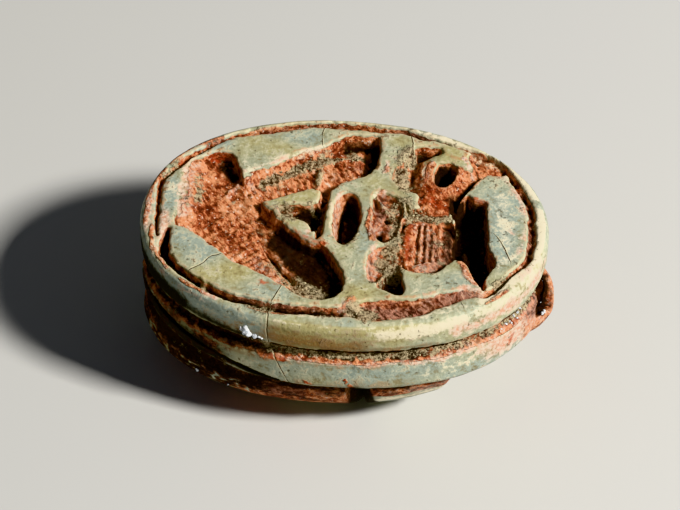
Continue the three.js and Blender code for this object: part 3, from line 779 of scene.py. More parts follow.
def surface_nets(block):
    """Corner points, in cells, and four-sided faces of the surface where the block is zero."""
    inside = block < 0
    nx, ny, nz = block.shape
    count = np.zeros((nx - 1, ny - 1, nz - 1), np.uint8)
    for i, j, k in np.ndindex(2, 2, 2):
        count += inside[i:nx - 1 + i, j:ny - 1 + j, k:nz - 1 + k]
    active = (count > 0) & (count < 8)
    cells = np.argwhere(active)
    number = np.full(active.shape, -1, np.int32)
    number[active] = np.arange(len(cells))
    total = np.zeros((len(cells), 3))
    hits = np.zeros(len(cells))
    for axis in range(3):
        first, second = [a for a in range(3) if a != axis]
        for u, v in np.ndindex(2, 2):
            low = cells.copy()
            low[:, first] += u
            low[:, second] += v
            high = low.copy()
            high[:, axis] += 1
            a, b = block[tuple(low.T)], block[tuple(high.T)]
            crosses = (a < 0) != (b < 0)
            point = low.astype(float)
            point[:, axis] += np.where(crosses, a / np.where(crosses, a - b, 1), 0)
            total += point * crosses[:, None]
            hits += crosses
    quads = []
    for axis, (first, second) in enumerate([(1, 2), (2, 0), (0, 1)]):
        low = np.take(inside, range(inside.shape[axis] - 1), axis)
        high = np.take(inside, range(1, inside.shape[axis]), axis)
        edges = np.argwhere(low != high)
        outward = low[tuple(edges.T)]
        back_first, back_second = edges.copy(), edges.copy()
        back_first[:, first] -= 1
        back_second[:, second] -= 1
        back_both = back_first.copy()
        back_both[:, second] -= 1
        ring = [number[tuple(c.T)] for c in (back_both, back_second, edges, back_first)]
        quad = np.stack(ring, 1)
        quads.append(np.where(outward[:, None], quad, quad[:, ::-1]))
    return total / hits[:, None], np.concatenate(quads)


def largest_shell(points, faces):
    """Drops all but the largest shell, such as a small hollow closed up inside the stone."""
    label = np.arange(len(points))
    while True:
        lower = label.copy()
        np.minimum.at(lower, faces.ravel(), np.repeat(label[faces].min(1), faces.shape[1]))
        lower = lower[lower]
        if (lower == label).all():
            break
        label = lower
    faces = faces[label[faces[:, 0]] == np.bincount(label).argmax()]
    used, corners = np.unique(faces, return_inverse=True)
    return points[used], corners.reshape(faces.shape)


# The plan of the seal face


class SealPlan:
    """The seal face from above: how deep it is cut at each place, and where it is stained or worn, with
    painted shade and highlights among the stains.
    """

    def __init__(self, step):
        self.step = step
        xs = np.arange(-HALF_LENGTH - PLAN_MARGIN, HALF_LENGTH + PLAN_MARGIN, step)
        ys = np.arange(-HALF_WIDTH - PLAN_MARGIN, HALF_WIDTH + FAR_MARGIN, step)
        self.low = (xs[0], ys[0])
        self.x, self.y = np.meshgrid(xs, ys, indexing="ij")
        self.spots = np.stack([self.x.ravel(), self.y.ravel()], 1)
        # The hand of the carver: every line wanders a little.
        self.hand_x = self.x + self.wander(11)
        self.hand_y = self.y + self.wander(14)
        self.depth = np.zeros(self.x.shape)
        self.lip = np.full(self.x.shape, 9.0)

    def noise(self, cell, seed):
        """Smooth noise over the whole plan."""
        return lattice_noise(self.spots, cell, seed).reshape(self.x.shape)

    def wander(self, seed):
        """How far a line strays at each place, in mm."""
        broad = 0.05 * self.noise(0.9, seed) + 0.035 * self.noise(0.3, seed + 1)
        return broad + 0.028 * self.noise(0.11, seed + 2)

    def away_from(self, outline):
        """Distance to an outline, worked out only close to it."""
        loop = smooth_loop(outline)
        spare = 0.9
        ends = []
        for axis, places in enumerate((self.x[:, 0], self.y[0])):
            start = int(np.searchsorted(places, loop[:, axis].min() - spare))
            stop = int(np.searchsorted(places, loop[:, axis].max() + spare))
            ends.append(slice(start, stop))
        part = tuple(ends)
        away = np.full(self.x.shape, spare)
        away[part] = loop_distance(loop, self.hand_x[part], self.hand_y[part])
        return away

    def sink(self, away, floor, lean, lip=0.022):
        """Cuts down to a floor inside an outline, with walls that lean in and a slightly rounded lip."""
        drop = lip * np.logaddexp(0, -away / lip) / lean
        self.depth = smooth_max(self.depth, smooth_min(drop, floor, 0.1) - 0.004, 0.02)
        self.lip = np.minimum(self.lip, np.abs(away))

    def leave(self, away, top, spread, foot=0.035):
        """Leaves a form standing inside what is cut, with a slightly rounded foot."""
        rise = top + foot * np.logaddexp(0, away / foot) / spread
        self.depth = smooth_min(self.depth, rise, 0.05)

    def at(self, values, x, y):
        """A field of the plan, read at the given places."""
        return look_up(values, self.low, self.step, x, y)


def bowl_floor(plan, depth):
    """The wide wing bowl: a long slope up at its left, deepest under its upper corner."""
    slope = ease(-5.6, -7.0, plan.x) * ease(-0.9, 0.2, plan.y)
    return depth - 0.5 * slope - 0.12 * ease(-1, -3, plan.y)


def trench_lean(plan):
    """The tail trench has one steep side; the other runs down slowly."""
    (cx, cy), (ux, uy) = TRENCH_CORNER, TRENCH_SIDE
    side = -(plan.x - cx) * ux - (plan.y - cy) * uy
    return 0.08 + 0.3 * ease(-0.9, 0.5, side) * ease(-4.4, -3.2, plan.y)


def cut_forms(plan):
    """Cuts every outline, then leaves the forms that stand inside."""
    for name, (outline, deep, lean) in SUNK_CUTS.items():
        away = plan.away_from(outline)
        floor = np.full(plan.x.shape, deep)
        walls = np.full(plan.x.shape, lean)
        if name == "wing_bowl":
            floor = bowl_floor(plan, deep)
        if name == "tail_trench":
            walls = trench_lean(plan)
        if name == "head_surround":
            floor = floor - 0.3 * ease(4.6, 5.6, plan.x) * ease(3, 3.8, plan.y)
        if name == "upper_wing":
            walls = walls + 0.5 * ease(-0.6, -1.6, plan.x) * ease(2.2, 3.2, plan.y - 0.35 * plan.x)
        plan.sink(away, floor, walls)
    for name, (outline, top, spread) in STANDING_FORMS.items():
        level = np.full(plan.x.shape, top)
        if name == "head":
            level = level + 0.34 * ease(4.1, 3.3, plan.y) * ease(3.9, 4.9, plan.x)
            level = level + 0.25 * ease(2.9, 2.2, plan.y)
            spread = spread + 1.2 * ease(4.4, 3.6, plan.x) * ease(4.7, 4.2, plan.y)
        if name == "hatched_block":
            level = level + 0.25 * ease(3.6, 4.6, plan.x)
        plan.leave(plan.away_from(outline), level, spread)


def cut_pits(plan):
    """The two deep pits and the border's lines."""
    left = ease(0.2, -0.5, plan.x)
    plan.sink(ellipse_distance(plan.hand_x, plan.hand_y, BELLY_PIT), BELLY_PIT_DEPTH, 0.06 + 0.3 * left)
    plan.sink(plan.away_from(EYE_PIT), EYE_PIT_DEPTH, 0.12)
    ends = ease(*BORDER_ENDS, np.abs(plan.x))
    for line, shallower in ((BORDER_TOP, BORDER_RISE), (BORDER_BOTTOM, 0)):
        floor = BORDER_DEPTH - shallower * ends
        plan.sink(ribbon_distance(plan.hand_x, plan.hand_y, line), floor, 0.16 + shallower * ends)


def dress_floors(plan):
    """Swells, tool strokes, hatching and the granular, broken surface of the bare stone."""
    sunk = ease(0.05, 0.3, plan.depth)
    change = np.zeros(plan.x.shape)
    for ax, ay, bx, by, width, height in FLOOR_FORMS.values():
        away = line_distance(plan.hand_x, plan.hand_y, (ax, ay), (bx, by))
        change = change + height * np.exp(-((away / width) ** 2))
    for ax, ay, bx, by, reach, often, height in STROKES.values():
        away = line_distance(plan.x, plan.y, (ax, ay), (bx, by))
        length = math.hypot(bx - ax, by - ay)
        along = ((plan.hand_x - ax) * (bx - ax) + (plan.hand_y - ay) * (by - ay)) / length
        along = along + 0.12 * plan.noise(0.7, 28)
        change = change + height * np.sin(2 * math.pi * often * along) * np.exp(-((away / reach) ** 4))
    for i in range(HATCH_COUNT):
        at = HATCH_FIRST_X + HATCH_PITCH * i
        start, end = (at, HATCH_ENDS[0]), (at + 0.08, HATCH_ENDS[1] + 0.12 * i)
        away = line_distance(plan.hand_x, plan.hand_y, start, end)
        change = change + (HATCH_DEPTH - 0.02 * i) * np.exp(-((away / HATCH_HALF_WIDTH) ** 2))
    grains = 0.035 * plan.noise(0.45, 21) + 0.045 * plan.noise(0.2, 22) + 0.03 * plan.noise(0.11, 23)
    crumbly = plan.stains["soil"] * (0.05 * plan.noise(0.14, 29) - 0.07)
    plan.depth = np.maximum(plan.depth + sunk * (change + grains + crumbly), 0)
    # Small breaks along the lips, and the uneven ground surface of the face.
    broken = ease(0.25, 0.75, plan.noise(0.33, 24)) * np.exp(-((plan.lip / 0.09) ** 2))
    level = 0.012 * plan.noise(1.6, 25) + 0.008 * plan.noise(0.4, 26) + 0.004 * plan.noise(0.15, 27)
    for cx, cy, radius in RIM_CHIPS:
        away = np.hypot(plan.hand_x - cx, plan.hand_y - cy)
        level = level + 0.1 * ease(radius, 0.2 * radius, away + 0.08 * plan.noise(0.2, 30))
    plan.depth = plan.depth + 0.045 * broken + level


def stain_and_painted_light_field(x, y, lines):
    """How strongly one kind of stain, wear, painted shade or painted highlight lies at each place."""
    field = np.zeros(x.shape)
    for ax, ay, bx, by, width, strength in lines:
        away = line_distance(x, y, (ax, ay), (bx, by))
        field = np.maximum(field, strength * np.exp(-((away / (1.35 * width)) ** 2)))
    return field


def draw_plan():
    """The whole plan of the seal face, with its stains, cuts, pits and floors."""
    plan = SealPlan(PLAN_STEP)
    x, y = plan.hand_x, plan.hand_y
    plan.stains = {name: stain_and_painted_light_field(x, y, lines) for name, lines in FACE_STAINS_AND_PAINTED_LIGHT.items()}
    cut_forms(plan)
    cut_pits(plan)
    dress_floors(plan)
    return plan


# The stone


class StoneBlock:
    """The amulet as a block of distances in mm, negative inside the stone."""

    def __init__(self, step):
        self.step = step
        margin = 3 * step
        reach = HALF_LENGTH + HEAD_REACH
        self.low = np.array([-HALF_LENGTH - 0.3 - margin, -HALF_WIDTH - margin, -margin])
        high = np.array([reach + margin, HALF_WIDTH + margin, HEIGHT + margin])
        self.count = np.ceil((high - self.low) / step).astype(int) + 1
        x, y, t = (self.low[a] + step * np.arange(self.count[a]) for a in range(3))
        self.x = x.astype(np.float32)[:, None]
        self.y = y.astype(np.float32)[None, :]
        self.depth = t.astype(np.float32)
        self.plane_x = np.broadcast_to(self.x, self.count[:2]).astype(np.float64)
        self.plane_y = np.broadcast_to(self.y, self.count[:2]).astype(np.float64)
        self.flat_spots = np.stack([self.plane_x.ravel(), self.plane_y.ravel()], 1)

    def plane_noise(self, cell, seed):
        """Smooth noise that is the same at every depth."""
        return lattice_noise(self.flat_spots, cell, seed).reshape(self.plane_x.shape)

    def layers(self, top, bottom):
        """The layers of the block between two depths, and how deep each lies."""
        start = int(np.searchsorted(self.depth, top))
        stop = int(np.searchsorted(self.depth, bottom))
        return slice(start, stop), self.depth[start:stop]


def side_table():
    """Signed distance to the side's profile, over inset and depth."""
    step = 0.02
    inset = np.arange(-1.2, 3.2, step)
    depth = np.arange(-0.4, 4.6, step)
    grid_i, grid_d = np.meshgrid(inset, depth, indexing="ij")
    line = [(i, d) for d, i in SIDE_PROFILE] + [(12.0, LEG_BOTTOM + 2 * UNDERCUT), (12.0, 0.0)]
    table = loop_distance(np.array(line), grid_i, grid_d)
    return box_blur(table.astype(np.float32), 2), (inset[0], depth[0]), step


def shape_upper(stone):
    """The plate, the cord groove and the legs."""
    table, low, step = side_table()
    inset = -oval_distance(stone.plane_x, stone.plane_y, HALF_LENGTH, HALF_WIDTH)
    inset = inset + 0.03 * stone.plane_noise(1.7, 3) + 0.012 * stone.plane_noise(0.5, 4)
    part, depth = stone.layers(-1, 4.4)
    block = np.full(stone.count, 5.0, np.float32)
    sway = 0.04 * stone.plane_noise(2.6, 5) + 0.02 * stone.plane_noise(0.6, 6)
    # The near side's tail end has lost the lower edge of its leg band.
    near_left = ease(-2.2, -5.5, stone.plane_x) * ease(0, -1.5, stone.plane_y)
    for k, t in zip(range(part.start, part.stop), depth):
        bend = ease(0.5, 1.3, t)
        worn = 0.16 * near_left * ease(2.9, 3.4, t)
        grain = 0.03 * ease(1.35, 1.5, t) * ease(2.4, 2.1, t) + 0.006
        grit = stone.plane_noise(0.17, 40 + k // 3)
        block[:, :, k] = look_up(table, low, step, inset - worn + grain * grit, t + bend * sway)
    return block


def shape_dome(stone):
    """The beetle's back, fuller towards the tail, with a flat spot at its crown."""
    part, depth = stone.layers(3.3, 99)
    t = depth[None, None, :]
    rise = np.clip((t - DOME_TOP) / DOME_FALL, -0.3, 2)
    shift = -DOME_BACKSET * np.sin(np.pi / 2 * np.clip(rise / 0.6, 0, 1))
    x = (stone.x[:, :, None] - shift) / (HALF_LENGTH - DOME_INSET)
    y = stone.y[:, :, None] / (HALF_WIDTH - DOME_INSET)
    size = np.abs(x) ** OVAL_POWER + np.abs(y) ** OVAL_POWER
    level = size ** (DOME_POWER / OVAL_POWER) + np.clip(rise, 0, 2) ** DOME_POWER - 1
    slopes = np.gradient(level.astype(np.float32), stone.step)
    steep = np.sqrt(sum(s * s for s in slopes)) + 0.02
    uneven = 0.02 * stone.plane_noise(1.1, 7) + 0.01 * stone.plane_noise(0.35, 8)
    near = np.clip(level / steep, -3, 3) + uneven[:, :, None]
    near = smooth_max(near, np.broadcast_to(t - HEIGHT + 0.01, near.shape), 0.05)
    near = np.maximum(near, BACK_START - t)
    # The room in front of the chest, whose front leans back.
    below = t - CHEST_DEPTH
    ahead = (stone.x[:, :, None] - CHEST_FRONT) * math.cos(CHEST_LEAN) + below * math.sin(CHEST_LEAN)
    near = smooth_max(near, np.minimum(ahead, below), 0.2)
    # The line between the wing cases and the line across, following the back.
    aside = np.abs(stone.y[:, :, None])
    middle = np.maximum(aside - WING_LINE_HALF_WIDTH, stone.x[:, :, None] - WING_CASE_FRONT)
    bow = WING_LINE_BOW * (stone.y[:, :, None] / HALF_WIDTH) ** 2
    across = np.abs(stone.x[:, :, None] - WING_CASE_FRONT - bow) - WING_LINE_HALF_WIDTH
    notch = np.abs(stone.x[:, :, None] - WING_CASE_FRONT) - NOTCH_SPREAD * (aside - NOTCH_START)
    for cut in (middle, across):
        near = smooth_max(near, -(cut + WING_LINE_LEAN * np.abs(near)), 0.05)
    near = smooth_max(near, np.minimum(-notch, below), 0.08)
    block = np.full(stone.count, 5.0, np.float32)
    block[:, :, part] = near
    return block


def ball(stone, part, centre, radii):
    """Distance to an egg shape, in one part of the block."""
    offset = [stone.x[:, :, None] - centre[0], stone.y[:, :, None] - centre[1],
              stone.depth[part][None, None, :] - centre[2]]
    scaled = np.sqrt(sum((o / r) ** 2 for o, r in zip(offset, radii))) + 1e-6
    slope = np.sqrt(sum((o / r**2) ** 2 for o, r in zip(offset, radii))) + 1e-6
    return scaled * (scaled - 1) / slope


def shape_head(stone, block):
    """The shield in front, the crown behind it and an eye at each side."""
    part, _ = stone.layers(2.0, 6.4)
    centre_x = HALF_LENGTH + HEAD_REACH - HEAD_RADIUS
    shield = ball(stone, part, (centre_x, 0, HEAD_DEPTH), (HEAD_RADIUS, HEAD_RADIUS, SHIELD_HEIGHT))
    crown = ball(stone, part, (CROWN_X, 0, HEAD_DEPTH), CROWN_RADII)
    head = smooth_min(shield, crown, 0.12)
    for side in (-1, 1):
        head = smooth_min(head, ball(stone, part, (EYE_X, side * EYE_Y, HEAD_DEPTH), EYE_RADII), 0.08)
    head = head + (0.03 * stone.plane_noise(0.5, 9))[:, :, None]
    block[:, :, part] = smooth_min(block[:, :, part], head, 0.06)
    return block


def shape_bore(stone, block):
    """The cord hole from end to end, with a wider mouth at each end."""
    part, depth = stone.layers(1.2, 4.2)
    away = np.hypot(stone.y[:, :, None], depth[None, None, :] - BORE_DEPTH)
    x = stone.x[:, :, None]
    hole = away - BORE_RADIUS
    front = np.maximum(away - MOUTH_RADIUS - 0.1, FRONT_MOUTH - x)
    back = np.maximum(away - MOUTH_RADIUS, x - BACK_MOUTH)
    hole = smooth_min(smooth_min(hole, front, 0.1), back, 0.1)
    for centre, radii in (UPPER_BREAK, NEAR_BREAK):
        hole = smooth_min(hole, ball(stone, part, centre, radii), 0.05)
    hole = hole + (0.03 * stone.plane_noise(0.3, 10))[:, :, None]
    block[:, :, part] = smooth_max(block[:, :, part], -hole, 0.06)
    return block


def shape_legs(stone, block):
    """Slanting lines on the side that part the legs, softer on the worn near side."""
    part, depth = stone.layers(LEG_TOP - 0.2, LEG_BOTTOM + 0.2)
    t = depth[None, None, :]
    inset = -oval_distance(stone.plane_x, stone.plane_y, HALF_LENGTH, HALF_WIDTH)[:, :, None]
    middle = (LEG_TOP + LEG_BOTTOM) / 2
    far = ease(-1, 1, stone.y[:, :, None])
    reach = 0.03 + 0.14 * far
    for place, lean in LEG_LINES:
        line = np.abs(stone.x[:, :, None] - place + (t - middle) * lean) - LEG_LINE_HALF_WIDTH
        cut = np.maximum(line + 0.6 * np.maximum(inset, 0), inset - reach)
        block[:, :, part] = smooth_max(block[:, :, part], -cut, 0.04)
    # On the near side a long wedge opens towards the tail below a torn edge.
    ragged = 0.04 * stone.plane_noise(0.4, 17)[:, :, None]
    edge = WEDGE_DEPTH + WEDGE_RISE * (stone.x[:, :, None] - WEDGE_START) + ragged
    half_width = 0.02 * (WEDGE_START - stone.x[:, :, None])
    wedge = np.maximum(np.abs(t - edge) - 0.05 - half_width, inset - 0.22)
    wedge = np.maximum(np.maximum(wedge, stone.x[:, :, None] + 1.5), stone.y[:, :, None] + 1)
    wedge = np.maximum(wedge, LEG_TOP + 0.25 - t)
    block[:, :, part] = smooth_max(block[:, :, part], -wedge, 0.04)
    return block


def carve_seal(stone, block, plan):
    """Sinks the plan's carving into the seal face."""
    part, depth = stone.layers(-1, 2.2)
    cut_x, cut_y = np.gradient(plan.depth, plan.step)
    steep = np.sqrt(1 + np.minimum(cut_x**2 + cut_y**2, 100))
    x, y = stone.plane_x, stone.plane_y - CARVING_Y
    floor = plan.at(plan.depth, x, y)[:, :, None]
    slope = plan.at(steep, x, y)[:, :, None]
    air = ((floor - depth[None, None, :]) / slope).astype(np.float32)
    block[:, :, part] = smooth_max(block[:, :, part], air, 0.03)
    return block


def fresh_mesh(name, points, faces):
    """A mesh from its corners and its faces, which all have the same number of sides."""
    mesh = bpy.data.meshes.new(name)
    sides = faces.shape[1]
    mesh.vertices.add(len(points))
    mesh.vertices.foreach_set("co", np.ascontiguousarray(points, np.float32).ravel())
    mesh.loops.add(faces.size)
    mesh.loops.foreach_set("vertex_index", faces.astype(np.int32).ravel())
    mesh.polygons.add(len(faces))
    mesh.polygons.foreach_set("loop_start", np.arange(len(faces), dtype=np.int32) * sides)
    mesh.update(calc_edges=True)
    return mesh


def to_frame(spots):
    """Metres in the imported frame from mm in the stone's own frame, with depth as the third number."""
    return np.stack([spots[:, 0] + FRAME_X, spots[:, 1], HEIGHT - spots[:, 2]], 1) / 1000


def to_stone(places):
    """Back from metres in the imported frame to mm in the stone's own frame."""
    places = np.asarray(places, float) * 1000
    return np.stack([places[:, 0] - FRAME_X, places[:, 1], HEIGHT - places[:, 2]], 1)


def mesh_places(mesh):
    """Where the corners of a mesh lie."""
    places = np.zeros(len(mesh.vertices) * 3, np.float32)
    mesh.vertices.foreach_get("co", places)
    return places.reshape(-1, 3)


def thin_out(obj, most):
    """Fewer faces where the surface is smooth, up to the given number of triangles."""
    triangles = sum(len(p.vertices) - 2 for p in obj.data.polygons)
    if triangles > most:
        change = obj.modifiers.new("Thin out", "DECIMATE")
        change.ratio = most / triangles
        keep_modifiers(obj)


def keep_modifiers(obj):
    """Turns the evaluated result into the object's plain mesh."""
    graph = bpy.context.evaluated_depsgraph_get()
    mesh = bpy.data.meshes.new_from_object(obj.evaluated_get(graph))
    obj.modifiers.clear()
    old = obj.data
    mesh.name = old.name
    obj.data = mesh
    bpy.data.meshes.remove(old)


def add_value(mesh, name, values):
    """Keeps a number for each corner, which the material reads."""
    layer = mesh.attributes.new(name, "FLOAT", "POINT")
    layer.data.foreach_set("value", np.ascontiguousarray(values, np.float32))


def face_marks(plan, spots):
    """The fields that hold for the seal face, from the plan."""
    x, y, depth = spots[:, 0], spots[:, 1] - CARVING_Y, spots[:, 2]
    fine = lattice_noise(spots, 0.16, 23)
    lip = plan.at(plan.lip, x, y)
    marks = {name: plan.at(field, x, y) for name, field in plan.stains.items()}
    marks["tone"] = marks["blue"] - marks["olive"]
    marks["bare"] = np.maximum(ease(0.05, 0.24, depth + 0.05 * fine), marks["worn"])
    # The dark marks, partly dirt and partly painted shade that grows with the depth of the cut, and the dusky
    # stains lie in the cuts alone.
    cut = ease(0.12, 0.4, depth)
    marks["dark"] = np.maximum(marks["dark"] * cut, ease(0.8, 1.35, depth + 0.16 * fine))
    marks["dusk"] = marks["dusk"] * ease(0.03, 0.15, depth)
    marks["stain"] = np.zeros(len(spots))
    marks["fringe"] = np.exp(-((lip / 0.15) ** 2)) * ease(0.12, 0.0, depth)
    return marks


def bore_share(spots, inset, fine):
    """How surely a place lies inside the cord hole's mouth, or in what has broken out of it."""
    x, y, depth = spots.T
    mouth = np.hypot(y, depth - BORE_DEPTH) + 0.12 * fine
    below = ease(2.9, 3.2, depth) * ease(8.62, 8.48, x) * ease(1.2, 0.9, y)
    share = np.maximum(ease(0.04, 0.2, inset + 0.08 * fine), below)
    share = share * ease(MOUTH_RADIUS + 0.42, MOUTH_RADIUS + 0.3, mouth)
    (cx, cy, ct), (a, b, c) = NEAR_BREAK[0], NEAR_BREAK_STAIN
    broken = np.sqrt(((x - cx) / a) ** 2 + ((y - cy) / b) ** 2 + ((depth - ct) / c) ** 2)
    return np.maximum(share, ease(1.0, 0.9, broken + 0.1 * fine) * ease(3.3, 2.9, depth))


def side_marks(spots, inset):
    """The fields that hold for the sides and the back."""
    x, y, depth = spots.T
    near = ease(0.0, -1.0, y)
    cloud = lattice_noise(spots, 1.4, 31) + 0.5 * lattice_noise(spots, 0.5, 32)
    fine = lattice_noise(spots, 0.2, 33)
    level = depth + 0.05 * cloud
    marks = {name: near * stain_and_painted_light_field(x, level, lines) for name, lines in SIDE_STAINS_AND_PAINTED_LIGHT.items()}
    marks["tone"] = marks["blue"] - marks["olive"]
    groove = ease(PLATE_DEPTH - 0.06, PLATE_DEPTH + 0.05, depth + 0.04 * fine)
    groove = groove * ease(LEG_TOP + 0.15, LEG_TOP + 0.05, depth + 0.06 * cloud)
    inner = groove * ease(0.08, 0.2, inset + 0.05 * fine)
    # The underside of the legs and the top of the back have lost their glaze, most of all on the near side.
    reach = 4.5 + 0.25 * cloud + 1.4 * near * ease(1.3, 0.6, x) + 0.5 * near * ease(-1.0, -3.0, x)
    under = ease(LEG_BOTTOM - 0.08, LEG_BOTTOM + 0.02, depth + 0.04 * fine)
    under = under * ease(0.12, -0.12, depth - reach)
    worn_back = ease(0.55, 1.1, cloud) * ease(4.6, 5.2, depth)
    head = ease(7.4, 7.9, x) * ease(1.6, 2.0, depth)
    bore = bore_share(spots, inset, fine)
    left_end = near * ease(-3.4, -5.0, x) * ease(LEG_TOP, LEG_TOP + 0.2, depth)
    # Flecks of glaze are left on the worn lower edge at the tail.
    fleck = ease(0.3, 0.5, lattice_noise(spots, 0.15, 34))
    fleck = fleck * near * ease(-2.6, -3.6, x) * ease(4.2, 4.7, depth)
    far_soil = (1 - near) * ease(0.0, 0.8, cloud)
    marks["bare"] = np.maximum.reduce([groove, under, worn_back, 0.6 * head, bore,
                                       left_end * (0.5 + 0.5 * fine), marks["red"]])
    marks["bare"] = marks["bare"] * (1 - fleck)
    # The dark mark is partly dirt and partly painted shade: on the tail end turned from the light, under the
    # legs, in the cord hole's mouth and in the groove under the plate, which is painted less dark towards the
    # lit front end.
    lit = ease(2.0, 6.0, x) * near
    marks["dark"] = np.maximum.reduce([marks["dark"], inner * (0.95 + 0.5 * fine - 0.5 * lit),
                                       under * (0.45 + 0.35 * fine), left_end * (0.55 + 0.6 * fine), bore])
    marks["dark"] = marks["dark"] * (1 - 0.8 * fleck)
    marks["cream_and_highlight"] = np.maximum(marks["cream_and_highlight"], 0.4 * fleck)
    marks["soil"] = inner * np.maximum(marks["soil"], far_soil)
    marks["pink"] = np.maximum.reduce([marks["pink"], under * ease(0.3, 0.8, fine) * 0.6, head * 0.4,
                                       0.5 * ease(0.8, 1.2, cloud)])
    marks["dusk"] = np.maximum(marks["dusk"], 0.5 * inner)
    low_edge = ease(1.2, PLATE_DEPTH, depth) * ease(PLATE_DEPTH + 0.05, PLATE_DEPTH, depth)
    leg_edge = ease(LEG_TOP - 0.05, LEG_TOP + 0.05, depth) * ease(LEG_TOP + 0.42, LEG_TOP + 0.1, depth)
    marks["fringe"] = 0.7 * low_edge + 0.8 * leg_edge
    return marks


def mark_stone(mesh, stone, block, plan):
    """Writes the fields that the material reads."""
    spots = to_stone(mesh_places(mesh))
    # How much of the room round each place is stone: in a wide cube for hollows, in a small one for edges.
    full = (block < 0).astype(np.float32)
    wide = look_up(box_blur(box_blur(full, 4), 4), stone.low, stone.step, *spots.T)
    close = look_up(box_blur(full, 2), stone.low, stone.step, *spots.T)
    x, y, depth = spots.T
    inset = -oval_distance(x, y, HALF_LENGTH, HALF_WIDTH)
    on_face = np.maximum(ease(0.13, 0.23, inset) * (depth < DEEPEST_CUT), ease(0.12, 0.05, depth))
    face = face_marks(plan, spots)
    side = side_marks(spots, inset)
    for name in MARKS:
        add_value(mesh, name, on_face * face[name] + (1 - on_face) * side[name])
    # From these two the material paints shade into the hollows and highlights onto sharp edges.
    add_value(mesh, "hollow", wide)
    add_value(mesh, "edge", close)
    near_side = (y < NEAR_SIDE_Y) & (depth > 0.02) & (inset < 0.3)
    face_crack, face_beside = crack_distance(x, y - CARVING_Y, FACE_CRACKS)
    side_crack, side_beside = crack_distance(x, depth, SIDE_CRACKS)
    add_value(mesh, "crack", np.where(near_side, side_crack, face_crack))
    add_value(mesh, "cracked", np.where(near_side, side_beside, face_beside * (depth < 0.5)))


def make_stone(settings):
    """Carves the stone and makes one mesh of it."""
    stone = StoneBlock(settings.detail)
    plan = draw_plan()
    block = smooth_min(shape_upper(stone), shape_dome(stone), 0.05)
    block = shape_head(stone, block)
    block = shape_bore(stone, block)
    block = shape_legs(stone, block)
    block = carve_seal(stone, block, plan)
    points, faces = largest_shell(*surface_nets(block))
    mesh = fresh_mesh(STONE_PIECE, to_frame(stone.low + points * stone.step), faces[:, ::-1])
    obj = bpy.data.objects.new(STONE_PIECE, mesh)
    bpy.context.scene.collection.objects.link(obj)
    thin_out(obj, settings.triangles)
    mark_stone(obj.data, stone, block, plan)
    obj.data.shade_smooth()
    return obj


# Materials


def new_group(name, inputs, outputs):
    """An empty shader node group with named inputs and outputs."""
    tree = bpy.data.node_groups.new(name, "ShaderNodeTree")
    for label, kind, default in inputs:
        socket = tree.interface.new_socket(name=label, in_out="INPUT", socket_type=kind)
        if default is not None:
            socket.default_value = default
    for label, kind in outputs:
        tree.interface.new_socket(name=label, in_out="OUTPUT", socket_type=kind)
    return tree


class Wiring:
    """Short ways to add and join nodes in one tree."""

    def __init__(self, tree):
        self.tree = tree

    def node(self, kind, **settings):
        """Adds a node and sets its properties."""
        made = self.tree.nodes.new(kind)
        for key, value in settings.items():
            setattr(made, key, value)
        return made

    def put(self, source, socket):
        """Joins an output to a socket, or sets the socket to a plain value."""
        if hasattr(source, "is_output"):
            self.tree.links.new(source, socket)
        else:
            socket.default_value = source

    def math(self, operation, a, b=0.0):
        """One sum of two values."""
        made = self.node("ShaderNodeMath", operation=operation)
        self.put(a, made.inputs[0])
        self.put(b, made.inputs[1])
        return made.outputs[0]

    def scaled(self, value, middle, amount):
        """A value moved so that its middle is nothing, and scaled."""
        return self.math("MULTIPLY", self.math("SUBTRACT", value, middle), amount)

    def ramp(self, value, low, high, to_low=0.0, to_high=1.0):
        """Takes a value smoothly from one end to the other as it goes from low to high."""
        made = self.node("ShaderNodeMapRange", interpolation_type="SMOOTHSTEP")
        for source, socket in zip((value, low, high, to_low, to_high), made.inputs):
            self.put(source, socket)
        return made.outputs[0]

    def noise(self, place, scale, detail=4.0, rough=0.55, warp=0.0):
        """A mottled pattern."""
        made = self.node("ShaderNodeTexNoise")
        self.put(place, made.inputs["Vector"])
        self.put(scale, made.inputs["Scale"])
        made.inputs["Detail"].default_value = detail
        made.inputs["Roughness"].default_value = rough
        made.inputs["Distortion"].default_value = warp
        return made.outputs["Fac"]

    def mix(self, share, a, b, way="MIX"):
        """Colour a, with its share of colour b."""
        made = self.node("ShaderNodeMix", data_type="RGBA", blend_type=way, clamp_factor=True)
        self.put(share, made.inputs["Factor"])
        self.put(a, made.inputs["A"])
        self.put(b, made.inputs["B"])
        return made.outputs["Result"]

    def field(self, name):
        """A number that the mesh keeps for each corner."""
        return self.node("ShaderNodeAttribute", attribute_name=name).outputs["Fac"]

    def group(self, tree, **values):
        """A shared group with its own values."""
        made = self.node("ShaderNodeGroup", node_tree=tree)
        for label, value in values.items():
            self.put(value, made.inputs[label.replace("_", " ")])
        return made.outputs


def rgb(r, g, b):
    """A colour as seen on screen, for a shader socket."""
    def line(v):
        v = v / 255
        return v / 12.92 if v <= 0.04045 else ((v + 0.055) / 1.055) ** 2.4
    return (line(r), line(g), line(b), 1.0)


def tint(name):
    """One of the named colours, for a shader socket."""
    return rgb(*TINTS[name])


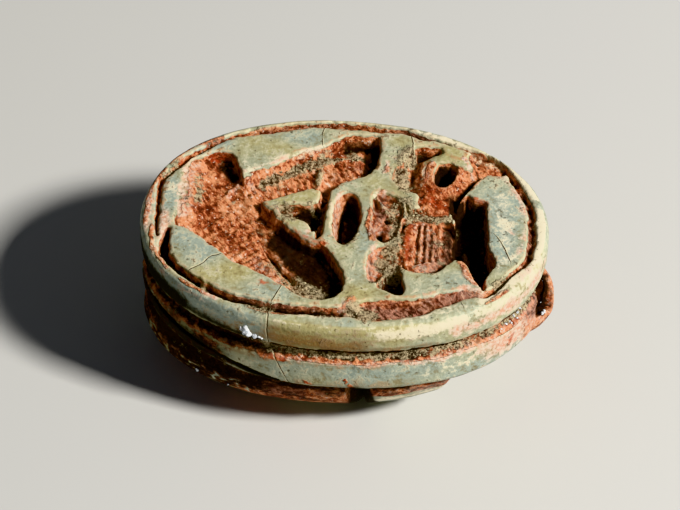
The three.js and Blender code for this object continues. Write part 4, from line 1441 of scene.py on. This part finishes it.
def burial_soil_group():
    """Dry soil: buff and brown grains with dark gaps between them."""
    tree = new_group(
        "burial soil",
        [("Place", "NodeSocketVector", None),
         ("Light", "NodeSocketColor", rgb(196, 180, 146)),
         ("Dark", "NodeSocketColor", rgb(38, 28, 20)),
         ("Grain Scale", "NodeSocketFloat", 8600.0)],
        [("Color", "NodeSocketColor"), ("Height", "NodeSocketFloat")],
    )
    w = Wiring(tree)
    given = w.node("NodeGroupInput").outputs
    grain = w.noise(given["Place"], given["Grain Scale"], 4.0, 0.75)
    clump = w.noise(given["Place"], CLUMP, 3.0, 0.6)
    level = w.math("ADD", w.math("MULTIPLY", grain, 0.7), w.math("MULTIPLY", clump, 0.3))
    colour = w.mix(w.ramp(level, 0.42, 0.56), given["Dark"], given["Light"])
    out = w.node("NodeGroupOutput")
    w.put(colour, out.inputs["Color"])
    w.put(level, out.inputs["Height"])
    return tree


def bare_stone_group():
    """The bare reddish body: dark between its grains, red-brown to orange, with pale pink grains and painted
    glints.
    """
    tree = new_group(
        "bare stone",
        [("Place", "NodeSocketVector", None),
         ("Gap Color", "NodeSocketColor", rgb(92, 40, 26)),
         ("Red Color", "NodeSocketColor", rgb(166, 92, 64)),
         ("Orange Color", "NodeSocketColor", rgb(222, 154, 112)),
         ("Grain And Glint Color", "NodeSocketColor", rgb(244, 220, 198))],
        [("Color", "NodeSocketColor"), ("Height", "NodeSocketFloat")],
    )
    w = Wiring(tree)
    given = w.node("NodeGroupInput").outputs
    strokes = w.node("ShaderNodeMapping", vector_type="TEXTURE")
    strokes.inputs["Rotation"].default_value = (0, 0, STROKE_TURN)
    strokes.inputs["Scale"].default_value = (1, STROKE_STRETCH, 1)
    w.put(given["Place"], strokes.inputs["Vector"])
    patch = w.noise(given["Place"], PATCH, 5.0, 0.66)
    grain = w.noise(strokes.outputs[0], STONE_GRAIN, 4.0, 0.7)
    level = w.math("ADD", grain, w.scaled(patch, 0.5, 0.6))
    colour = w.mix(w.ramp(level, 0.34, 0.48), given["Gap Color"], given["Red Color"])
    colour = w.mix(w.ramp(level, 0.44, 0.58), colour, given["Orange Color"])
    colour = w.mix(w.ramp(level, 0.6, 0.78), colour, given["Grain And Glint Color"])
    # Painted glints: scattered bright specks of the grain colour standing in for light caught by crystals.
    painted_glints = w.noise(given["Place"], GLINT, 2.0, 0.6)
    colour = w.mix(w.ramp(painted_glints, 0.63, 0.7, 0.0, 0.9), colour, given["Grain And Glint Color"])
    out = w.node("NodeGroupOutput")
    w.put(colour, out.inputs["Color"])
    w.put(grain, out.inputs["Height"])
    return tree


def glaze_colour(w, place, settings):
    """The worn glaze: blue-grey to olive, paler in clouds, with fine dark specks."""
    broad = w.noise(place, BROAD, 3.0, 0.55, 0.5)
    cloud = w.noise(place, CLOUD, 4.0, 0.62, 0.4)
    fine = w.noise(place, FINE, 3.0, 0.65)
    tone = w.math("ADD", w.field("tone"), w.scaled(broad, 0.5, 2.4))
    colour = w.mix(w.ramp(tone, -0.9, 0.9), (*settings.glaze_olive, 1), (*settings.glaze_blue, 1))
    pale = w.math("ADD", w.math("MULTIPLY", cloud, 0.6), w.math("MULTIPLY", fine, 0.4))
    colour = w.mix(w.ramp(pale, 0.48, 0.62, 0.0, 0.8), colour, (*settings.glaze_pale, 1))
    colour = w.mix(w.ramp(pale, 0.48, 0.35, 0.0, 0.75), colour, tint("glaze in shade"))
    return colour, cloud, fine


def stone_material(settings, soil_tree, bare_tree):
    """The glaze with its stains and painted highlights, the bare stone in the cuts with painted glints, then
    dirt with painted shade, soil and cracks over both.
    """
    material = bpy.data.materials.new("stained glaze with painted light")
    material.use_nodes = True
    tree = material.node_tree
    tree.nodes.clear()
    w = Wiring(tree)
    place = w.node("ShaderNodeTexCoord").outputs["Object"]
    colour, cloud, fine = glaze_colour(w, place, settings)
    jitter = w.math("ADD", w.scaled(cloud, 0.5, 2.4), w.scaled(fine, 0.5, 1.8))

    def share(name, low, high, ragged, most):
        """How much of a mark shows, with its edge broken up by the stone's own mottling."""
        mottled = w.math("ADD", w.field(name), w.math("MULTIPLY", jitter, ragged))
        return w.ramp(mottled, low, high, 0.0, most)

    # Stains and wear on the glaze.
    colour = w.mix(share("stain", 0.1, 1.4, 1.2, 0.8), colour, tint("honey stain"))
    colour = w.mix(share("fringe", 0.5, 1.2, 0.8, 0.7), colour, tint("brown fringe"))
    # Cream is partly pale wear and partly a painted highlight along the rim lit from the right.
    colour = w.mix(share("cream_and_highlight", 0.3, 0.9, 0.5, 0.85), colour, tint("cream_and_highlight"))
    # Sharp edges are made lighter: partly glaze worn off them, partly a painted highlight where they catch
    # the light.
    edge = w.field("edge")
    worn_and_lit_edge = w.ramp(w.math("ADD", edge, w.math("MULTIPLY", jitter, 0.09)), 0.42, 0.28)
    colour = w.mix(w.math("MULTIPLY", worn_and_lit_edge, 0.5), colour, tint("worn edge and highlight"))
    pinkish = w.mix(w.ramp(fine, 0.4, 0.6), (*settings.wear_pink, 1), tint("pale pink"))
    pink = share("pink", 0.35, 1.0, 0.7, 0.9)
    colour = w.mix(pink, colour, pinkish)
    specks = w.ramp(w.noise(place, SPECK, 3.0, 0.6), 0.63, 0.7)
    colour = w.mix(w.math("MULTIPLY", specks, 0.7), colour, tint("speck"))
    # The bare body shows where the glaze is cut or worn away.
    bare = w.group(bare_tree, Place=place)
    bare_share = share("bare", 0.25, 0.6, 0.25, 1.0)
    body = w.mix(w.math("MULTIPLY", pink, 0.8), bare["Color"], pinkish)
    dusky = w.mix(w.ramp(bare["Height"], 0.38, 0.62), tint("dusk"), tint("dusty red"))
    body = w.mix(share("dusk", 0.25, 0.9, 0.5, 0.85), body, dusky)
    # Inner corners of the bare stone turn deep red, partly stain and partly painted shade, and its sharp
    # edges take the same painted highlight as the glaze.
    body = w.mix(w.ramp(edge, 0.55, 0.68, 0.0, 0.85), body, tint("deep red"))
    body = w.mix(w.math("MULTIPLY", worn_and_lit_edge, 0.35), body, tint("stone edge"))
    creamy = w.mix(w.ramp(fine, 0.4, 0.6), tint("tan"), tint("cream on stone"))
    body = w.mix(share("cream_and_highlight", 0.3, 1.0, 0.8, 0.75), body, creamy)
    colour = w.mix(bare_share, colour, body)
    colour = w.mix(share("red", 0.35, 0.9, 0.6, 0.8), colour, w.mix(0.25, tint("red patch"), bare["Color"]))
    # Dark umber in the depths, partly dirt and partly painted shade, with more painted shade in the hollows,
    # and soil where it has caught.
    hollow = w.field("hollow")
    deep = w.math("ADD", w.field("dark"), w.ramp(hollow, 0.62, 0.85, 0.0, 0.7))
    dark = w.ramp(w.math("ADD", deep, w.math("MULTIPLY", jitter, 0.45)), 0.2, 1.0, 0.0, 0.97)
    colour = w.mix(dark, colour, (*settings.dirt_and_shade_colour, 1))
    soil = w.group(soil_tree, Place=place)
    soil_share = share("soil", 0.3, 0.75, 0.75, 0.9)
    colour = w.mix(soil_share, colour, soil["Color"])
    # Cracks: a dark line with a pale lip.
    line = w.math("ADD", w.field("crack"), w.scaled(fine, 0.5, 0.08))
    cracked = w.math("MULTIPLY", w.field("cracked"), w.ramp(cloud, 0.36, 0.46))
    off_gap = w.math("ABSOLUTE", w.math("SUBTRACT", line, 0.01))
    gap = w.math("MULTIPLY", w.ramp(off_gap, 0.03, 0.01), cracked)
    off_lip = w.math("ABSOLUTE", w.math("ADD", line, 0.03))
    lip = w.math("MULTIPLY", w.ramp(off_lip, 0.04, 0.01), cracked)
    colour = w.mix(w.math("MULTIPLY", lip, 0.6), colour, tint("crack lip"))
    colour = w.mix(w.math("MULTIPLY", gap, 0.95), colour, tint("crack"))
    # Surface: a worn sheen on the glaze, rough stone with the odd bright grain elsewhere.
    rough_share = w.math("MAXIMUM", bare_share, soil_share)
    glint = w.ramp(w.noise(place, GLINT, 1.0, 0.5), 0.66, 0.7)
    rough = w.math("SUBTRACT", w.ramp(rough_share, 0.0, 1.0, 0.45, 0.72), w.math("MULTIPLY", glint, 0.5))
    rough = w.math("MAXIMUM", rough, dark)
    height = w.mix(rough_share, w.math("MULTIPLY", w.math("ADD", fine, cloud), 0.2), bare["Height"])
    height = w.mix(soil_share, height, soil["Height"])
    height = w.math("SUBTRACT", height, w.math("MULTIPLY", gap, 0.25))
    bump = w.node("ShaderNodeBump")
    bump.inputs["Distance"].default_value = 0.00016
    w.put(height, bump.inputs["Height"])
    shader = w.node("ShaderNodeBsdfPrincipled")
    shader.inputs["Specular IOR Level"].default_value = 0.13
    w.put(colour, shader.inputs["Base Color"])
    w.put(rough, shader.inputs["Roughness"])
    w.put(bump.outputs["Normal"], shader.inputs["Normal"])
    out = w.node("ShaderNodeOutputMaterial")
    tree.links.new(shader.outputs["BSDF"], out.inputs["Surface"])
    return material


def grain_material(name, soil_tree, light, dark, scale, roughness):
    """Loose grains of soil, or white lime, from the same dry grain as the stone's soil."""
    material = bpy.data.materials.new(name)
    material.use_nodes = True
    w = Wiring(material.node_tree)
    place = w.node("ShaderNodeTexCoord").outputs["Object"]
    soil = w.group(soil_tree, Place=place, Light=tint(light), Dark=tint(dark), Grain_Scale=scale)
    bump = w.node("ShaderNodeBump")
    bump.inputs["Distance"].default_value = 0.00003
    w.put(soil["Height"], bump.inputs["Height"])
    shader = material.node_tree.nodes["Principled BSDF"]
    shader.inputs["Roughness"].default_value = roughness
    w.put(soil["Color"], shader.inputs["Base Color"])
    w.put(bump.outputs["Normal"], shader.inputs["Normal"])
    return material


def floor_material(settings):
    """Plain pale paper."""
    material = bpy.data.materials.new("pale paper")
    material.use_nodes = True
    shader = material.node_tree.nodes["Principled BSDF"]
    shader.inputs["Base Color"].default_value = (*settings.floor_colour, 1)
    shader.inputs["Roughness"].default_value = 0.8
    return material


# Grains


def grain_tree(name):
    """A tree that puts a small rough grain on every point, turned and stretched at random."""
    tree = bpy.data.node_groups.new(name, "GeometryNodeTree")
    face = tree.interface
    face.new_socket(name="Geometry", in_out="INPUT", socket_type="NodeSocketGeometry")
    inputs = (("Facets", "NodeSocketInt"), ("Seed", "NodeSocketInt"), ("Rough", "NodeSocketFloat"),
              ("Material", "NodeSocketMaterial"))
    for label, kind in inputs:
        face.new_socket(name=label, in_out="INPUT", socket_type=kind)
    face.new_socket(name="Geometry", in_out="OUTPUT", socket_type="NodeSocketGeometry")
    w = Wiring(tree)
    given = w.node("NodeGroupInput").outputs
    grain = w.node("GeometryNodeMeshIcoSphere")
    grain.inputs["Radius"].default_value = 1.0
    w.put(given["Facets"], grain.inputs["Subdivisions"])
    turn = w.node("FunctionNodeRandomValue", data_type="FLOAT_VECTOR")
    stretch = w.node("FunctionNodeRandomValue", data_type="FLOAT_VECTOR")
    for chance, low, high in ((turn, 0.0, math.tau), (stretch, 0.65, 1.35)):
        chance.inputs[0].default_value = (low, low, low)
        chance.inputs[1].default_value = (high, high, high)
        w.put(given["Seed"], chance.inputs["Seed"])
    size = w.node("GeometryNodeInputNamedAttribute", data_type="FLOAT")
    size.inputs["Name"].default_value = "size"
    scale = w.node("ShaderNodeVectorMath", operation="SCALE")
    w.put(stretch.outputs[0], scale.inputs[0])
    w.put(size.outputs["Attribute"], scale.inputs["Scale"])
    place = w.node("GeometryNodeInstanceOnPoints")
    w.put(given["Geometry"], place.inputs["Points"])
    w.put(grain.outputs["Mesh"], place.inputs["Instance"])
    w.put(turn.outputs[0], place.inputs["Rotation"])
    w.put(scale.outputs[0], place.inputs["Scale"])
    real = w.node("GeometryNodeRealizeInstances")
    w.put(place.outputs["Instances"], real.inputs["Geometry"])
    noise = w.node("ShaderNodeTexNoise")
    noise.inputs["Scale"].default_value = 9000.0
    lift = w.node("ShaderNodeVectorMath", operation="SUBTRACT")
    w.put(noise.outputs["Color"], lift.inputs[0])
    lift.inputs[1].default_value = (0.5, 0.5, 0.5)
    amount = w.node("ShaderNodeVectorMath", operation="SCALE")
    w.put(lift.outputs[0], amount.inputs[0])
    w.put(given["Rough"], amount.inputs["Scale"])
    push = w.node("GeometryNodeSetPosition")
    w.put(real.outputs["Geometry"], push.inputs["Geometry"])
    w.put(amount.outputs[0], push.inputs["Offset"])
    coat = w.node("GeometryNodeSetMaterial")
    w.put(push.outputs["Geometry"], coat.inputs["Geometry"])
    w.put(given["Material"], coat.inputs["Material"])
    out = w.node("NodeGroupOutput")
    w.put(coat.outputs["Geometry"], out.inputs["Geometry"])
    return tree


def place_grains(name, tree, spots, sizes, facets, seed, rough, material):
    """One piece made of a grain at each spot, in metres on the frame."""
    mesh = bpy.data.meshes.new(name)
    mesh.vertices.add(len(spots))
    mesh.vertices.foreach_set("co", np.ascontiguousarray(spots, np.float32).ravel())
    add_value(mesh, "size", sizes)
    obj = bpy.data.objects.new(name, mesh)
    bpy.context.scene.collection.objects.link(obj)
    change = obj.modifiers.new("Grains", "NODES")
    change.node_group = tree
    values = {"Facets": facets, "Seed": seed, "Rough": rough, "Material": material}
    for item in tree.interface.items_tree:
        if item.item_type == "SOCKET" and item.in_out == "INPUT" and item.name in values:
            change[item.identifier] = values[item.name]
    keep_modifiers(obj)
    if not len(obj.data.polygons):
        raise RuntimeError(name + " came out empty")
    return obj


def soil_spots(stone, count, seed, sizes):
    """Places on the stone where soil has caught, sunk a little into it, with a size for each."""
    mesh = stone.data
    places = mesh_places(mesh)
    normals = np.zeros(len(mesh.vertices) * 3, np.float32)
    mesh.vertex_normals.foreach_get("vector", normals)
    normals = normals.reshape(-1, 3)
    soil = np.zeros(len(mesh.vertices), np.float32)
    mesh.attributes["soil"].data.foreach_get("value", soil)
    chance = np.random.default_rng(seed)
    ready = np.flatnonzero(soil > 0.5)
    if len(ready) < count:
        raise RuntimeError("too little of the stone holds soil")
    chosen = chance.choice(ready, count, replace=False)
    size = sizes[0] + (sizes[1] - sizes[0]) * chance.random(count) ** 2
    return places[chosen] - normals[chosen] * (GRAIN_SINK * size)[:, None], size


def lime_spots(stone):
    """Places on the near side and in the hole's mouth where white lime has grown, with a size for each."""
    places = mesh_places(stone.data)
    spots = to_stone(places)
    near = np.flatnonzero(spots[:, 1] < NEAR_SIDE_Y)
    found = []
    for along, depth, radius in LIME_SPOTS:
        away = np.hypot(spots[near, 0] - along, spots[near, 2] - depth) + 0.1 * (spots[near, 1] + 6)
        found.append((*places[near[np.argmin(away)]], radius / 1000))
    for *spot, radius in MOUTH_LIME:
        away = np.linalg.norm(spots - np.array(spot), axis=1)
        found.append((*places[np.argmin(away)], radius / 1000))
    table = np.array(found)
    return table[:, :3], table[:, 3]


# Operators, in the order that main calls them


class StoneSettings(bpy.types.PropertyGroup):
    """How fine the stone is carved, and the colours of its glaze"""

    detail: FloatProperty(
        name="Detail", description="Size in mm of the smallest step in the carved stone",
        default=0.06, min=0.04, max=0.3,
    )
    triangles: IntProperty(
        name="Triangles", description="The most triangles that the carved stone may have",
        default=196000, min=20000, max=199000,
    )
    glaze_blue: FloatVectorProperty(
        name="Blue glaze", description="Colour of the glaze where it is blue-grey", subtype="COLOR",
        default=rgb(156, 168, 156)[:3], min=0, max=1,
    )
    glaze_olive: FloatVectorProperty(
        name="Olive glaze", description="Colour of the glaze where it has yellowed", subtype="COLOR",
        default=rgb(176, 168, 122)[:3], min=0, max=1,
    )
    glaze_pale: FloatVectorProperty(
        name="Pale glaze", description="Colour of the palest clouds in the glaze", subtype="COLOR",
        default=rgb(214, 212, 182)[:3], min=0, max=1,
    )
    wear_pink: FloatVectorProperty(
        name="Pink wear", description="Colour where the glaze has worn thin", subtype="COLOR",
        default=rgb(216, 150, 122)[:3], min=0, max=1,
    )
    # The colour of the dirt and of the painted shade in the deepest cuts and hollows.
    dirt_and_shade_colour: FloatVectorProperty(
        name="Dirt and shade", description="Colour of the dirt in the deepest cuts", subtype="COLOR",
        default=rgb(15, 6, 4)[:3], min=0, max=1,
    )


class SoilSettings(bpy.types.PropertyGroup):
    """How much loose soil lies in the carving"""

    count: IntProperty(
        name="Grains", description="How many loose grains of soil lie in the carving",
        default=1100, min=10, max=4000,
    )
    smallest: FloatProperty(
        name="Smallest grain", description="Radius of the smallest grain",
        subtype="DISTANCE", unit="LENGTH",
        default=0.000022, min=0.00001, max=0.001, precision=6,
    )
    largest: FloatProperty(
        name="Largest grain", description="Radius of the largest grain",
        subtype="DISTANCE", unit="LENGTH",
        default=0.00007, min=0.00001, max=0.001, precision=6,
    )
    seed: IntProperty(name="Seed", description="Changes where the grains lie", default=4, min=0)


class StageSettings(bpy.types.PropertyGroup):
    """The floor and the light"""

    floor_colour: FloatVectorProperty(
        name="Floor", description="Colour of the pale floor", subtype="COLOR",
        default=(0.6, 0.6, 0.58), min=0, max=1,
    )
    key_power: FloatProperty(
        name="Key light", description="Strength of the light from the right", unit="POWER",
        default=1.45, min=0,
    )
    sky: FloatProperty(
        name="Sky", description="Strength of the even light from all round", default=0.12, min=0,
    )


def the_group(name, make):
    """A node group that is built once and shared."""
    return bpy.data.node_groups.get(name) or make()


class AMULET_OT_carve_stone(bpy.types.Operator):
    """Carves the amulet and gives it its stained glaze, with painted shade and highlights"""

    bl_idname = "amulet.carve_stone"
    bl_label = "Carve the Stone"

    def execute(self, context):
        settings = context.scene.amulet_stone
        stone = make_stone(settings)
        soil_tree = the_group("burial soil", burial_soil_group)
        bare_tree = the_group("bare stone", bare_stone_group)
        stone.data.materials.append(stone_material(settings, soil_tree, bare_tree))
        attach(stone, "root")
        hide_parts(STONE_NODE)
        return {"FINISHED"}


class AMULET_OT_scatter_soil(bpy.types.Operator):
    """Lays loose grains of soil in the carving and lime on the near edge"""

    bl_idname = "amulet.scatter_soil"
    bl_label = "Scatter the Soil"

    def execute(self, context):
        settings = context.scene.amulet_soil
        stone = bpy.data.objects[STONE_PIECE]
        soil_tree = the_group("burial soil", burial_soil_group)
        tree = grain_tree("grains")
        ends = (settings.smallest, settings.largest)
        spots, sizes = soil_spots(stone, settings.count, settings.seed, ends)
        earth = grain_material("loose soil", soil_tree, "soil grain", "soil gap", SOIL_GRAIN, 0.8)
        grains = place_grains("soil_grains", tree, spots, sizes, SOIL_FACETS, settings.seed,
                              SOIL_ROUGHNESS, earth)
        lime = grain_material("white lime", soil_tree, "lime", "lime gap", LIME_GRAIN, 0.5)
        places, radii = lime_spots(stone)
        crust = place_grains("lime_crust", tree, places, radii, LIME_FACETS, settings.seed,
                             LIME_ROUGHNESS, lime)
        for piece in (grains, crust):
            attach(piece, "root")
        return {"FINISHED"}


def add_key_light(power):
    """A soft square light that looks at the amulet from the right."""
    lamp = bpy.data.lights.new("key", "AREA")
    lamp.size = KEY_SIZE
    lamp.energy = power
    lamp.color = KEY_COLOUR
    obj = bpy.data.objects.new("key", lamp)
    bpy.context.scene.collection.objects.link(obj)
    towards = Vector(KEY_TOWARDS)
    obj.location = towards.normalized() * KEY_DISTANCE
    obj.rotation_euler = towards.to_track_quat("Z", "Y").to_euler()


def add_camera():
    """The camera of the photograph, moved sideways so that the framing needs no shift."""
    azimuth, elevation = math.radians(VIEW_AZIMUTH), math.radians(VIEW_ELEVATION)
    back = Vector((math.sin(azimuth) * math.cos(elevation), -math.cos(azimuth) * math.cos(elevation),
                   math.sin(elevation)))
    right = Vector((math.cos(azimuth), math.sin(azimuth), 0))
    up = back.cross(right)
    face = Vector((FRAME_X, CARVING_Y, HEIGHT))
    aside = (PICTURE[0] / 2 - FACE_PIXEL[0]) / PIXELS_PER_MM
    above = (FACE_PIXEL[1] - PICTURE[1] / 2) / PIXELS_PER_MM
    target = face + right * aside + up * above
    lens = bpy.data.cameras.new("camera")
    lens.sensor_width = SENSOR_WIDTH
    lens.lens = SENSOR_WIDTH * VIEW_DISTANCE * PIXELS_PER_MM / PICTURE[0]
    lens.clip_start = 0.001
    camera = bpy.data.objects.new("camera", lens)
    bpy.context.scene.collection.objects.link(camera)
    turn = Matrix((right, up, back)).transposed().to_4x4()
    camera.matrix_world = Matrix.Translation((target + back * VIEW_DISTANCE) / 1000) @ turn
    bpy.context.scene.camera = camera


class AMULET_OT_set_stage(bpy.types.Operator):
    """Sets the pale floor, the soft lights and the camera"""

    bl_idname = "amulet.set_stage"
    bl_label = "Set the Stage"

    def execute(self, context):
        settings = context.scene.amulet_stage
        half = FLOOR_HALF
        corners = np.array([(-half, -half, 0), (half, -half, 0), (half, half, 0), (-half, half, 0)])
        mesh = fresh_mesh("floor", corners, np.array([[0, 1, 2, 3]]))
        mesh.materials.append(floor_material(settings))
        floor = bpy.data.objects.new("floor", mesh)
        context.scene.collection.objects.link(floor)
        add_key_light(settings.key_power)
        world = bpy.data.worlds.new("studio")
        world.use_nodes = True
        sky = world.node_tree.nodes["Background"]
        sky.inputs["Color"].default_value = SKY_COLOUR
        sky.inputs["Strength"].default_value = settings.sky
        context.scene.world = world
        context.scene.view_settings.view_transform = "Khronos PBR Neutral"
        add_camera()
        return {"FINISHED"}


class AMULET_PT_panel(bpy.types.Panel):
    """Lists the amulet's steps in the sidebar"""

    bl_idname = "AMULET_PT_panel"
    bl_label = "Scarab Amulet"
    bl_space_type = "VIEW_3D"
    bl_region_type = "UI"
    bl_category = "Amulet"

    def draw(self, context):
        layout = self.layout
        scene = context.scene
        for settings, step in (
            (scene.amulet_stone, "amulet.carve_stone"),
            (scene.amulet_soil, "amulet.scatter_soil"),
            (scene.amulet_stage, "amulet.set_stage"),
        ):
            for name in settings.__annotations__:
                layout.prop(settings, name)
            layout.operator(step)


CLASSES = (
    StoneSettings,
    SoilSettings,
    StageSettings,
    AMULET_OT_carve_stone,
    AMULET_OT_scatter_soil,
    AMULET_OT_set_stage,
    AMULET_PT_panel,
)


def register():
    """Makes the settings, the operators and the panel known."""
    for cls in CLASSES:
        bpy.utils.register_class(cls)
    bpy.types.Scene.amulet_stone = PointerProperty(type=StoneSettings)
    bpy.types.Scene.amulet_soil = PointerProperty(type=SoilSettings)
    bpy.types.Scene.amulet_stage = PointerProperty(type=StageSettings)


def unregister():
    """Takes back what register did."""
    del bpy.types.Scene.amulet_stage
    del bpy.types.Scene.amulet_soil
    del bpy.types.Scene.amulet_stone
    for cls in reversed(CLASSES):
        bpy.utils.unregister_class(cls)


def main():
    """Builds the amulet and its stage."""
    register()
    bpy.ops.amulet.carve_stone()
    bpy.ops.amulet.scatter_soil()
    bpy.ops.amulet.set_stage()


if __name__ == "__main__":
    main()
